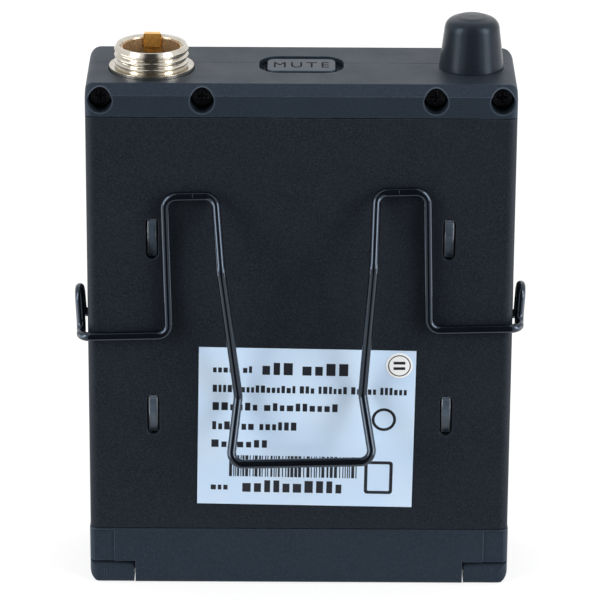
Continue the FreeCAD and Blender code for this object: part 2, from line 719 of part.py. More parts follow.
def make_head_front_shell():
    body = new_body("head_front_shell")
    seam = S.part_y + S.part_gap / 2
    pad(body, "z", head_low, top, draw_rectangle, -half, half, seam, front)
    for sense in (-1, 1):
        pocket(body, "y", seam - S.overcut, front + S.overcut, draw_corner, half * sense, top, -sense, -1,
               S.head_round)
        pocket(body, "z", head_low - S.overcut, top + S.overcut, draw_corner, half * sense, front, -sense, -1,
               S.front_corner)
    pocket(body, "x", -half - S.overcut, half + S.overcut, draw_corner, front, top, -1, -1, S.front_round)
    pad(body, "z", spigot_low, head_low, draw_rectangle, -spigot_half, spigot_half, seam, spigot_front)
    open_head(body, seam, spigot_front)
    for screw_x in screw_xs:
        pocket(body, "y", seam - S.overcut, screw_seat + S.screw_length + S.fit_gap,
               draw_circle, screw_x, screw_z, S.screw_diameter + S.thread_play * 2)


def make_head_screws():
    screws = []
    head_back = screw_seat - S.screw_head_height
    for count, screw_x in enumerate(screw_xs):
        name = "HeadScrew%d" % count
        solid = fuse(name + "Solid", [
            rod(name + "Head", "y", S.screw_head_diameter, screw_x, (head_back, screw_seat), screw_z),
            rod(name + "Shank", "y", S.screw_diameter, screw_x,
                (screw_seat, screw_seat + S.screw_length), screw_z)])
        depth = (head_back, head_back + S.cross_depth)
        near, far = S.cross_width / 2, S.cross_length / 2
        blades = [box(name + "BladeA", (screw_x - near, screw_x + near), depth, (screw_z - far, screw_z + far)),
                  box(name + "BladeB", (screw_x - far, screw_x + far), depth, (screw_z - near, screw_z + near))]
        screws.append(cut(name, solid, blades))
    keep(group("HeadScrews", screws), "head_screws")


def make_mute_button():
    body = new_body("mute_button")
    flange_high = floor_under_top - S.fit_gap
    flange_low = flange_high - S.button_flange
    reach_x, reach_y = S.button_length / 2, S.button_width / 2
    pad(body, "z", flange_high, top - S.button_sink, draw_rounded,
        -reach_x, reach_x, S.button_y - reach_y, S.button_y + reach_y, S.button_corner)
    soften(body, S.button_gap * 1.5, lambda edge: lies_at(edge, z=top - S.button_sink))
    lip_x, lip_y = reach_x + S.button_lip, reach_y + S.button_lip
    pad(body, "z", flange_low, flange_high, draw_rounded,
        -lip_x, lip_x, S.button_y - lip_y, S.button_y + lip_y, S.button_corner)
    rest = shelf_high + S.mute_switch_height
    bore_low = rest - S.plunger_hold - S.button_travel - S.bore_floor
    side = S.switch_side / 2
    block = box("MuteSwitchBlock", (-side, side), (S.button_y - side, S.button_y + side), (shelf_high, rest))
    hole = rod("MuteSwitchBore", "z", S.mute_plunger_diameter + S.plunger_play * 2,
               0, S.button_y, (bore_low, rest + S.overcut))
    keep(cut("MuteSwitch", block, [hole]), "mute_switch")
    keep(rod("MutePlunger", "z", S.mute_plunger_diameter, 0, S.button_y,
             (rest - S.plunger_hold, flange_low)), "mute_plunger")


def make_connector():
    rim = top + S.plug_rise
    flange_low = top - S.flange_sink
    flange_high = flange_low + S.flange_height
    crest, root = S.thread_diameter / 2, S.thread_diameter / 2 - S.thread_cut
    neck, bore = S.neck_diameter / 2, S.shell_bore / 2
    foot = top - S.neck_depth

    shell = new_body("connector_shell", S.plug_x, S.plug_y)
    outline = [(bore, foot), (neck, foot), (neck, flange_low), (S.flange_diameter / 2, flange_low),
               (S.flange_diameter / 2, flange_high)]
    turn_foot = flange_high
    for _ in range(int(S.thread_count.number)):
        outline += [(root, turn_foot), (root, turn_foot + S.thread_pitch * 0.2),
                    (crest, turn_foot + S.thread_pitch * 0.5), (crest, turn_foot + S.thread_pitch * 0.7)]
        turn_foot = turn_foot + S.thread_pitch
    outline += [(root, rim), (bore + S.rim_chamfer, rim), (bore, rim - S.rim_chamfer)]
    revolve(shell, outline)
    key = S.key_width / 2
    skin = root - S.key_skin
    pocket(shell, "z", top, rim + S.overcut, draw_rectangle, -key, key, bore - S.overcut, skin)

    liner = new_body("connector_liner", S.plug_x, S.plug_y)
    liner_high = rim - S.liner_sink
    liner_low = top - S.insert_depth + S.insert_height
    liner_out = bore - S.thread_play
    revolve(liner, [(S.liner_diameter / 2, liner_low), (liner_out, liner_low), (liner_out, liner_high),
                    (S.liner_diameter / 2, liner_high)])
    tab = key - S.fit_gap
    key_high = rim + S.key_rise
    pad(liner, "z", key_high - S.key_height, key_high, draw_rectangle,
        -tab, tab, S.liner_diameter / 2 - S.key_inset, skin - S.fit_gap)

    carrier = new_body("connector_insert", S.plug_x, S.plug_y)
    insert_low = top - S.insert_depth
    pad(carrier, "z", insert_low, liner_low, draw_circle, 0, 0, S.shell_bore - S.thread_play * 2)
    pins = []
    for quarter in range(4):
        angle = math.radians(45 + 90 * quarter)
        pin_x = S.pin_circle / 2 * math.cos(angle)
        pin_y = S.pin_circle / 2 * math.sin(angle)
        pocket(carrier, "z", insert_low - S.overcut, liner_low + S.overcut,
               draw_circle, pin_x, pin_y, S.pin_diameter + S.thread_play * 2)
        pins.append(rod("ContactPin%d" % quarter, "z", S.pin_diameter, S.plug_x + pin_x, S.plug_y + pin_y,
                        (insert_low - S.pin_tail, top + S.pin_rise)))
    keep(group("ConnectorPins", pins), "connector_pins")

    nut = new_body("connector_nut", S.plug_x, S.plug_y)
    nut_high = head_low
    nut_low = nut_high - S.nut_height
    pad(nut, "z", nut_low, nut_high, draw_circle, 0, 0, S.nut_diameter)
    pocket(nut, "z", nut_low - S.overcut, nut_high + S.overcut,
           draw_circle, 0, 0, S.neck_diameter + S.thread_play * 2)


def make_antenna():
    cap = new_body("antenna_cap", S.aerial_x, S.aerial_y)
    base, shoulder = S.cap_base_diameter / 2, S.cap_shoulder_diameter / 2
    roof = top + S.cap_height - S.cap_wall
    revolve(cap, [(base - S.cap_wall, top), (base, top), (shoulder, top + S.cap_shoulder),
                  (shoulder * 0.5, top + S.cap_height - (S.cap_height - S.cap_shoulder) * 0.2),
                  (0, top + S.cap_height), (0, roof), (shoulder - S.cap_wall, roof)])
    soften(cap, S.cap_round, lambda edge: lies_at(edge, z=top + S.cap_shoulder))

    stud_high = top + S.stud_rise
    keep(fuse("AntennaStud", [
        rod("StudRod", "z", S.stud_diameter, S.aerial_x, S.aerial_y, (shelf_high, stud_high)),
        rod("StudCollar", "z", S.collar_diameter, S.aerial_x, S.aerial_y,
            (top, top + S.collar_height))]), "antenna_stud")
    core_high = top + S.core_top
    keep(rod("AntennaCore", "z", S.core_diameter, S.aerial_x, S.aerial_y, (stud_high, core_high)),
         "antenna_core")
    radius = float(S.core_diameter) / 2 + float(S.coil_wire) / 2 + float(S.fit_gap)
    shape_node("antenna_coil", coil(float(S.aerial_x), float(S.aerial_y), float(stud_high), float(core_high),
                                    radius, float(S.coil_wire), float(S.coil_turns)))


def clip_point(x, reach, z):
    """A point of the clip: across from its middle, out from the back face, and up, before it is turned."""
    turn = math.radians(float(S.clip_tilt))
    across, up = float(x), float(z) - float(S.run_z)
    return Vector(float(S.clip_shift) + across * math.cos(turn) - up * math.sin(turn), float(back - reach),
                  float(S.run_z) + up * math.cos(turn) + across * math.sin(turn))


def make_belt_clip():
    lie = S.wire_gap + S.wire_diameter / 2
    wire, bend = float(S.wire_diameter), float(S.wire_bend)
    hook_bend = float(S.eye_y - S.hook_y) / 2.05
    arm_bends = [bend] * 2 + [hook_bend] * 4 + [float(S.eye_bend)]
    for label, sense in (("belt_clip_arm_left", -1), ("belt_clip_arm_right", 1)):
        near_x = float(half + lie) * sense
        far_x = float(half + lie + S.hook_flare) * sense
        corner = clip_point((half + lie) * sense, lie, S.run_z)
        hook_z = float(S.hook_z + S.hook_skew * sense)
        path = [clip_point(S.bridge_cut * sense, lie, S.bridge_z),
                clip_point(S.upright_x * sense, lie, S.bridge_z),
                clip_point(S.upright_x * sense, lie, S.run_z),
                Vector(near_x, corner.y, corner.z),
                Vector(near_x, float(S.hook_y), corner.z),
                Vector(far_x, float(S.hook_y), hook_z),
                Vector(far_x, float(S.eye_y), hook_z),
                Vector(near_x, float(S.eye_y), float(S.eye_z)),
                Vector(float(half - S.wire_end) * sense, float(S.eye_y), float(S.eye_z))]
        shape_node(label, bent_wire(path, wire, arm_bends))
    legs = ((S.leg_x, lie, S.bridge_z), (S.knee_x, S.knee_reach, S.knee_z),
            (S.heel_x, S.heel_reach, S.heel_z), (S.lip_x, S.lip_reach, S.lip_z))
    path = [clip_point(-S.bridge_cut, lie, S.bridge_z)]
    path += [clip_point(-x, reach, z) for x, reach, z in legs]
    path += [clip_point(x, reach, z) for x, reach, z in reversed(legs)]
    path.append(clip_point(S.bridge_cut, lie, S.bridge_z))
    shape_node("belt_clip_tongue", bent_wire(path, wire, [bend] * (len(path) - 2)))


def make_tail_frame():
    body = new_body("tail_frame")
    pad(body, "z", 0, tail_top, draw_rectangle, -outer_half, outer_half, outer_back, outer_front)
    soften(body, S.sleeve_corner, lambda edge: runs_along(edge, "z"))
    soften(body, S.tail_lip, lambda edge: lies_at(edge, z=tail_top))
    soften(body, S.tail_edge, lambda edge: lies_at(edge, z=0) and runs_along(edge, "x")
           and lies_at(edge, y=outer_back))
    spigot_end = door_back - S.arm_gap
    inside = spigot_half - S.spigot_wall
    pad(body, "z", tail_top, tail_top + S.tail_spigot, draw_polygon,
        [(-spigot_half, spigot_back), (spigot_half, spigot_back), (spigot_half, spigot_end),
         (inside, spigot_end), (inside, spigot_back + S.spigot_wall),
         (-inside, spigot_back + S.spigot_wall), (-inside, spigot_end), (-spigot_half, spigot_end)])
    notch = S.arm_x - S.arm_side_gap
    ceiling = S.arm_height + S.arm_gap
    for side in ((notch, outer_half + S.overcut), (-outer_half - S.overcut, -notch)):
        pocket(body, "y", outer_back - S.overcut, outer_front + S.overcut,
               draw_rectangle, side[0], side[1], -S.overcut, ceiling)
    opening = door_half + S.door_gap
    pocket(body, "z", -S.overcut, tail_top + S.overcut, draw_rectangle,
           -opening, opening, spigot_end, outer_front + S.overcut)
    well_front = spigot_end - S.tail_wall
    shelf = ceiling + S.tail_wall
    well = notch - S.tail_wall
    pocket(body, "z", S.tail_floor, tail_top + S.overcut, draw_rectangle,
           -well, well, back + S.hinge_block, well_front)
    pocket(body, "z", shelf, tail_top, draw_rectangle,
           -inside, inside, spigot_back + S.spigot_wall, well_front)
    pocket(body, "z", shelf, tail_top + S.overcut, draw_rectangle,
           -well, well, well_front - S.overcut, spigot_end + S.overcut)
    for low, high in ((S.hinge_pin_inner, notch + S.overcut), (-notch - S.overcut, -S.hinge_pin_inner)):
        pocket(body, "x", low, high, draw_circle, hinge_y, hinge_z, S.hinge_pin_diameter + S.thread_play * 2)
    cheek = half - S.cheek_width
    for side in ((cheek, outer_half + S.overcut), (-outer_half - S.overcut, -cheek)):
        pocket(body, "y", outer_back - S.overcut, outer_back + S.cheek_step,
               draw_rectangle, side[0], side[1], ceiling, tail_top - S.tail_lip)
    pad(body, "z", S.tail_floor, contact_low(), draw_rectangle,
        S.cell_x - S.strip_width / 2, S.cell_x + S.strip_width / 2,
        cell_y - S.strip_width / 2, cell_y + S.strip_width / 2)


def contact_low():
    """Underside of the plate below the right cell's nub."""
    return S.cell_low - S.strip_gap - S.strip_wall


def make_battery_tray():
    body = new_body("battery_tray")
    low = tail_top + S.tail_spigot + S.fit_gap
    wall_front = spigot_back + S.tray_wall
    pad(body, "y", spigot_back, wall_front, draw_rectangle, -S.tray_half, S.tray_half, low, S.bulkhead_high)
    side = S.cell_x + S.cell_diameter / 2 + S.cell_gap
    for left, right in ((side, side + S.tray_wall), (-side - S.tray_wall, -side)):
        pad(body, "z", low, S.bulkhead_high, draw_rectangle, left, right, spigot_back, S.tray_front)
    pad(body, "z", S.bulkhead_low, S.bulkhead_high, draw_rectangle,
        -S.tray_half, S.tray_half, spigot_back, S.bulkhead_front)
    for left, right in ((S.tray_half - S.lug_width, S.tray_half), (-S.tray_half, S.lug_width - S.tray_half)):
        pad(body, "z", S.bulkhead_low, S.bulkhead_high, draw_rectangle,
            left, right, spigot_back, board_front)
    reach = S.strip_width / 2
    pad(body, "z", cell_top() + S.strip_gap + S.strip_wall, S.bulkhead_high, draw_rectangle,
        -S.cell_x - reach, -S.cell_x + reach, cell_y - reach, cell_y + reach)
    tab_x = S.slot_width / 2 - S.tab_gap
    tab_z = S.slot_height / 2 - S.tab_gap
    for slot_x in (-S.slot_x, S.slot_x):
        for slot_z in slot_heights:
            face = back + S.tab_sink
            pad(body, "x", slot_x - tab_x, slot_x + tab_x, draw_polygon,
                [(wall_front, slot_z - tab_z), (face + S.tab_ramp, slot_z - tab_z),
                 (face, slot_z + tab_z * 0.1), (face, slot_z + tab_z * 0.85),
                 (face + S.tab_sink, slot_z + tab_z), (wall_front, slot_z + tab_z)])


def cell_top():
    return S.cell_low + S.cell_length


def make_cells():
    body_length = S.cell_length - S.nub_height
    for name, side, nub_up in (("Left", -1, True), ("Right", 1, False)):
        cell_x = S.cell_x * side
        can_low = S.cell_low if nub_up else S.cell_low + S.nub_height
        nub_low = S.cell_low + body_length if nub_up else S.cell_low
        keep(fuse("Cell" + name, [
            rod("Cell%sCan" % name, "z", S.cell_diameter, cell_x, cell_y, (can_low, can_low + body_length)),
            rod("Cell%sNub" % name, "z", S.nub_diameter, cell_x, cell_y, (nub_low, nub_low + S.nub_height))]),
            "aa_cell_" + name.lower())


def make_contacts():
    reach = S.strip_width / 2
    along = (cell_y - reach, cell_y + reach)
    riser = (S.board_y - S.strip_gap - S.strip_wall, S.board_y - S.strip_gap)
    strips = []
    for name, side, low in (("Left", -1, cell_top() + S.strip_gap),
                            ("Right", 1, S.bulkhead_low - S.strip_gap - S.strip_wall)):
        across = (S.cell_x * side - reach, S.cell_x * side + reach)
        strips.append(fuse("Strip" + name, [
            box("Strip%sPlate" % name, across, (along[0], riser[1]), (low, low + S.strip_wall)),
            box("Strip%sRiser" % name, across, riser, (low, S.riser_top))]))
    keep(group("ContactStrips", strips), "contact_strips")

    link = new_body("contact_link")
    step_x = S.cell_x - reach - S.strip_gap
    floor = S.tail_floor
    plate = contact_low()
    pad(link, "y", along[0], along[1], draw_polygon,
        [(-S.cell_x - reach, floor), (step_x, floor), (step_x, plate), (S.cell_x + reach, plate),
         (S.cell_x + reach, plate + S.strip_wall), (step_x - S.strip_wall, plate + S.strip_wall),
         (step_x - S.strip_wall, floor + S.strip_wall), (-S.cell_x - reach, floor + S.strip_wall)])

    radius, wire = float(S.coil_spring_radius), float(S.spring_wire)
    gap = float(S.strip_gap)
    lower = bent_coil(-float(S.cell_x), float(cell_y), float(S.tail_floor + S.strip_wall) + gap,
                      float(S.cell_low) - gap, radius, wire, float(S.spring_turns))
    upper = bent_coil(float(S.cell_x), float(cell_y), float(cell_top()) + gap,
                      float(S.bulkhead_low - S.strip_gap - S.strip_wall) - gap, radius, wire,
                      float(S.top_spring_turns))
    shape_node("contact_springs", Part.makeCompound([lower, upper]))


def make_battery_door():
    body = new_body("battery_door")
    pad(body, "y", door_back, outer_front, draw_rectangle, -outer_half, outer_half, 0, S.arm_height)
    for sense in (-1, 1):
        left, right = (S.arm_x, outer_half) if sense > 0 else (-outer_half, -S.arm_x)
        pad(body, "x", left, right, draw_rectangle, back, door_back + S.arm_gap, 0, S.arm_height)
        for height, upward, radius in ((0, 1, S.arm_heel), (S.arm_height, -1, S.arm_crown)):
            pocket(body, "x", left - S.overcut, right + S.overcut, draw_corner, back, height, 1, upward, radius)
        side = outer_half * sense
        pocket(body, "y", back - S.overcut, outer_front + S.overcut,
               draw_corner, side, 0, -sense, 1, S.arm_round)
        for edge_y, inward in ((back, 1), (outer_front, -1)):
            pocket(body, "z", -S.overcut, S.arm_height + S.overcut,
                   draw_corner, side, edge_y, -sense, inward, S.sleeve_corner)
        line_x = S.arm_line_x * sense
        pocket(body, "y", back - S.overcut, back + S.arm_line, draw_rectangle,
               line_x - S.arm_line / 2, line_x + S.arm_line / 2, -S.overcut, S.arm_height + S.overcut)
    pad(body, "y", door_back, front, draw_rectangle, -door_half, door_half, S.arm_height / 2, S.door_height)
    soften(body, S.door_corner, lambda edge: runs_along(edge, "y") and lies_at(edge, z=S.door_height))
    reach = S.thumb_width / 2
    pocket(body, "y", front - S.thumb_depth, front + S.overcut, draw_rectangle,
           -reach, reach, S.door_height - S.thumb_height, S.door_height + S.overcut)
    bore = S.hinge_pin_diameter + S.hinge_play * 2
    for low, high in ((S.arm_x - S.overcut, S.hinge_pin_outer + S.fit_gap),
                      (-S.hinge_pin_outer - S.fit_gap, S.overcut - S.arm_x)):
        pocket(body, "x", low, high, draw_circle, hinge_y, hinge_z, bore)

    keep(box("DoorFoamPad", (-S.pad_width / 2, S.pad_width / 2),
             (cell_y + S.cell_diameter / 2 + S.pad_gap, door_back), (S.pad_low, S.pad_high)), "door_foam_pad")
    keep(group("DoorHingePins", [
        rod("HingePinRight", "x", S.hinge_pin_diameter,
            (S.hinge_pin_inner + S.fit_gap, S.hinge_pin_outer), hinge_y, hinge_z),
        rod("HingePinLeft", "x", S.hinge_pin_diameter,
            (-S.hinge_pin_outer, -S.hinge_pin_inner - S.fit_gap), hinge_y, hinge_z)]), "door_hinge_pins")


def make_boards():
    board_low = S.bulkhead_high + S.board_seat
    keep(box("MainPcb", (-S.board_half, S.board_half), (S.board_y, board_front), (board_low, S.board_top)),
         "main_pcb")
    shelf_back = spigot_back + S.fit_gap
    block = box("SwitchBoardBlank", (S.shelf_left, S.shelf_right), (shelf_back, S.board_y - S.shelf_gap),
                (shelf_low, shelf_high))
    keep(block, "switch_pcb")
    keep(box("BoardHeader", (-S.header_half, S.header_half), (S.board_y - S.header_side, S.board_y),
             (shelf_low - S.header_side, shelf_low)), "board_header")
    keep(box("RfShieldCan", (S.can_left, S.can_right), (S.board_y - S.can_depth, S.board_y),
             (S.can_low, S.can_high)), "rf_shield_can")


def make_display_and_keys():
    window = new_body("display_window")
    flange_back = inner_front - S.strip_gap - S.window_flange
    half_x, half_z = S.window_width / 2, S.window_height / 2
    pad(window, "y", flange_back, inner_front - S.strip_gap, draw_rectangle,
        S.window_x - half_x - S.window_lip, S.window_x + half_x + S.window_lip,
        S.window_z - half_z - S.window_lip, S.window_z + half_z + S.window_lip)
    pad(window, "y", inner_front - S.strip_gap, front - S.window_sink, draw_rectangle,
        S.window_x - half_x + S.fit_gap, S.window_x + half_x - S.fit_gap,
        S.window_z - half_z + S.fit_gap, S.window_z + half_z - S.fit_gap)
    keep(box("DisplayModule", (S.window_x - half_x, S.window_x + half_x),
             (board_front, flange_back - S.fit_gap), (S.window_z - half_z, S.window_z + half_z)),
         "display_module")

    flange_front = inner_front - S.strip_gap
    key_back = flange_front - S.key_flange
    switch_front = board_front + S.key_switch_height
    bore_back = switch_front - S.key_plunger_hold - S.key_travel - S.key_bore_floor
    side = S.switch_side / 2
    switches = []
    for name, key_x in (("power", S.power_key_x), ("set", S.set_key_x)):
        title = name.capitalize()
        keep(fuse(title + "Key", [
            rod(title + "KeyFlange", "y", S.key_diameter + S.key_lip * 2, key_x,
                (key_back, flange_front), S.window_z),
            rod(title + "KeyStem", "y", S.key_diameter, key_x, (flange_front, front + S.key_proud),
                S.window_z)]), name + "_key")
        keep(rod(title + "Plunger", "y", S.key_plunger_diameter, key_x,
                 (switch_front - S.key_plunger_hold, key_back), S.window_z), name + "_plunger")
        block = box(title + "SwitchBlock", (key_x - side, key_x + side), (board_front, switch_front),
                    (S.window_z - side, S.window_z + side))
        hole = rod(title + "SwitchBore", "y", S.key_plunger_diameter + S.plunger_play * 2, key_x,
                   (bore_back, switch_front + S.overcut), S.window_z)
        switches.append(cut(title + "Switch", block, [hole]))
    keep(group("KeySwitches", switches), "key_switches")


def make_labels():
    label = new_body("rating_label", S.label_x, back, S.label_z)
    label.Placement.Rotation = Rotation(Vector(0, 1, 0), 0)
    tie(label, ".Placement.Rotation.Angle", S.label_tilt)
    half_x, half_z = S.label_width / 2, S.label_height / 2
    pad(label, "y", -S.label_wall, 0, draw_rectangle, -half_x, half_x, -half_z, half_z)
    keep(rod("InspectionDot", "y", S.dot_diameter, S.label_x + S.dot_x,
             (back - S.label_wall - S.dot_wall, back - S.label_wall), S.label_z + S.dot_z),
         "inspection_dot")


make_main_housing()
make_head_rear_shell()
make_head_front_shell()
make_head_screws()
make_mute_button()
make_connector()
make_antenna()
make_belt_clip()
make_tail_frame()
make_battery_tray()
make_cells()
make_contacts()
make_battery_door()
make_boards()
make_display_and_keys()
make_labels()
doc.recompute()

faults = [thing.Label for thing in doc.Objects if "Invalid" in thing.State or "Error" in thing.State]
faults += [node.Label for node in nodes if node.Shape.isNull() or not node.Shape.isValid()]
if faults:
    raise RuntimeError("failed objects: " + ", ".join(faults))

os.makedirs("parts", exist_ok=True)
for node in nodes:
    node.Shape.exportStep(os.path.join("parts", node.Label + ".step"))
    bounds = node.Shape.BoundBox
    print("%-22s %9.2f mm3  x %7.2f %7.2f  y %7.2f %7.2f  z %7.2f %7.2f  solids %d" % (
        node.Label, node.Shape.Volume, bounds.XMin, bounds.XMax, bounds.YMin, bounds.YMax,
        bounds.ZMin, bounds.ZMax, len(node.Shape.Solids)))
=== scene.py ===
import json
import math
import random

import bmesh
import bpy
from mathutils import Matrix, Vector


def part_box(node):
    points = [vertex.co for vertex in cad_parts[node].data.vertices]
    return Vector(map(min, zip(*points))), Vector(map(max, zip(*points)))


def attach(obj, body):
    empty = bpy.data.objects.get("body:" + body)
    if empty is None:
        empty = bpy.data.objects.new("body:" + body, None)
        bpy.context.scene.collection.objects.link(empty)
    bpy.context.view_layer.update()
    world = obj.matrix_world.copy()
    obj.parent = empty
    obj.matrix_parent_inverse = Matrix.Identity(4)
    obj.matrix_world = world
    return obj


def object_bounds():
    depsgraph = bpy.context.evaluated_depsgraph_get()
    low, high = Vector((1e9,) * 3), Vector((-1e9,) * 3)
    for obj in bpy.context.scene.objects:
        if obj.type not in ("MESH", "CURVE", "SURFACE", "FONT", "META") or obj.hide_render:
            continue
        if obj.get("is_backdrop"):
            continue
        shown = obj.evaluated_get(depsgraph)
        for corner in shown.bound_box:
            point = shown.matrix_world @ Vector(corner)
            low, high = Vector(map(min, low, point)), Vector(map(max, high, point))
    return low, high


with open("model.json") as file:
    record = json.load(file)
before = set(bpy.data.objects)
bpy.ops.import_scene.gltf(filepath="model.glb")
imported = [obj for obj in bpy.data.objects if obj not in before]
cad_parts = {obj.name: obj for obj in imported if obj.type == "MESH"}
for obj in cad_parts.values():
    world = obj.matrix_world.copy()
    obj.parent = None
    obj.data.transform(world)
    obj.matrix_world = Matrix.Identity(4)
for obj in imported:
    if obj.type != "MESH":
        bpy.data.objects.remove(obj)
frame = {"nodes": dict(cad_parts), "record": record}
nodes = frame["nodes"]
cadLow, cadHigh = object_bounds()
mm = 0.001
print("frame loaded", len(nodes))


# The usual sRGB curve, from bytes to a linear colour.
def srgb(red, green, blue):
    parts = [part / 255 for part in (red, green, blue)]
    return tuple(p / 12.92 if p < 0.04045 else ((p + 0.055) / 1.055) ** 2.4 for p in parts) + (1.0,)


# Shading helpers: sizes come in millimetres and colours as sRGB bytes.

def newTree(name):
    material = bpy.data.materials.new(name)
    material.use_nodes = True
    tree = material.node_tree
    return material, tree, tree.nodes["Principled BSDF"]


def addNode(tree, kind, inputs=None, **settings):
    node = tree.nodes.new(kind)
    for key, value in settings.items():
        setattr(node, key, value)
    for key, value in (inputs or {}).items():
        if isinstance(value, bpy.types.NodeSocket):
            tree.links.new(value, node.inputs[key])
        else:
            node.inputs[key].default_value = value
    return node


def math2(tree, operation, first, second):
    return addNode(tree, "ShaderNodeMath", {0: first, 1: second}, operation=operation).outputs[0]


def noise(tree, coords, size, detail=2.0, roughness=0.5):
    return addNode(tree, "ShaderNodeTexNoise", {"Vector": coords, "Scale": 1 / (size * mm), "Detail": detail,
                                                "Roughness": roughness}).outputs["Fac"]


def spread(tree, value, low, high, fromLow=0.3, fromHigh=0.7):
    return addNode(tree, "ShaderNodeMapRange", {"Value": value, "From Min": fromLow, "From Max": fromHigh,
                                                "To Min": low, "To Max": high}).outputs["Result"]


def blendColors(tree, factor, first, second):
    node = addNode(tree, "ShaderNodeMix", data_type="RGBA")
    for index, value in ((0, factor), (6, first), (7, second)):  # a colour mix keeps its colours in 6 and 7
        if isinstance(value, bpy.types.NodeSocket):
            tree.links.new(value, node.inputs[index])
        else:
            node.inputs[index].default_value = value
    return node.outputs[2]


def edgeMask(tree, radius, low, high):
    bevel = addNode(tree, "ShaderNodeBevel", {"Radius": radius * mm}, samples=6)
    geometry = addNode(tree, "ShaderNodeNewGeometry")
    dot = addNode(tree, "ShaderNodeVectorMath", {0: bevel.outputs[0], 1: geometry.outputs["Normal"]},
                  operation="DOT_PRODUCT").outputs["Value"]
    return spread(tree, dot, 1.0, 0.0, low, high), bevel.outputs[0]


# What all finishes share: noise detail, the range of the flecks, and the patchy edge colour, which is partly
# wear and partly a painted highlight.
finish = {"cloud": 3, "fleck": 2, "fleckRough": 0.7, "fleckRange": (0.44, 0.66), "edgeRange": (0.86, 1.0),
          "wearSize": 1.6, "wear": 4, "leastEdgeBreakup": 0.2, "patch": 4, "grainRough": 0.6}


def makeMaterial(name, look):
    material, tree, shader = newTree(name)
    coords = addNode(tree, "ShaderNodeTexCoord").outputs["Object"]
    cloud = spread(tree, noise(tree, coords, look.get("mottle", 9), finish["cloud"]), 0, 1)
    base = blendColors(tree, cloud, srgb(*look["color"]), srgb(*look.get("shade", look["color"])))
    if "speck" in look:
        flecks = noise(tree, coords, look.get("fleck", 0.3), finish["fleck"], finish["fleckRough"])
        flecks = spread(tree, flecks, 0, 1, *finish["fleckRange"])
        base = blendColors(tree, flecks, base, srgb(*look["speck"]))
    mask, normal = edgeMask(tree, look.get("round", 0.2), *finish["edgeRange"])
    # Lighter colour on the rounded edges, broken up by noise: partly wear, partly a painted highlight where
    # the edges catch light.
    if "edge" in look:
        edgeBreakup = noise(tree, coords, finish["wearSize"], finish["wear"])
        edgeBreakup = spread(tree, edgeBreakup, finish["leastEdgeBreakup"], 1.0)
        base = blendColors(tree, math2(tree, "MULTIPLY", mask, edgeBreakup), base, srgb(*look["edge"]))
    tree.links.new(base, shader.inputs["Base Color"])
    rough, uneven = look["roughness"], look.get("uneven", 0.04)
    patches = noise(tree, coords, 5, finish["patch"])
    tree.links.new(spread(tree, patches, rough - uneven, rough + uneven), shader.inputs["Roughness"])
    grain = noise(tree, coords, look.get("grain", 0.25), 3, finish["grainRough"])
    bump = addNode(tree, "ShaderNodeBump",
                   {"Height": grain, "Normal": normal, "Strength": look.get("relief", 0.2),
                    "Distance": look.get("depth", 0.03) * mm})
    tree.links.new(bump.outputs[0], shader.inputs["Normal"])
    shader.inputs["Metallic"].default_value = look.get("metallic", 0)
    shader.inputs["Specular IOR Level"].default_value = look.get("specular", 0.5)
    shader.inputs["Specular Tint"].default_value = srgb(*look.get("sheen", (255, 255, 255)))
    shader.inputs["Coat Weight"].default_value = look.get("coat", 0)
    shader.inputs["Coat Roughness"].default_value = look.get("coatRoughness", 0.1)
    return material
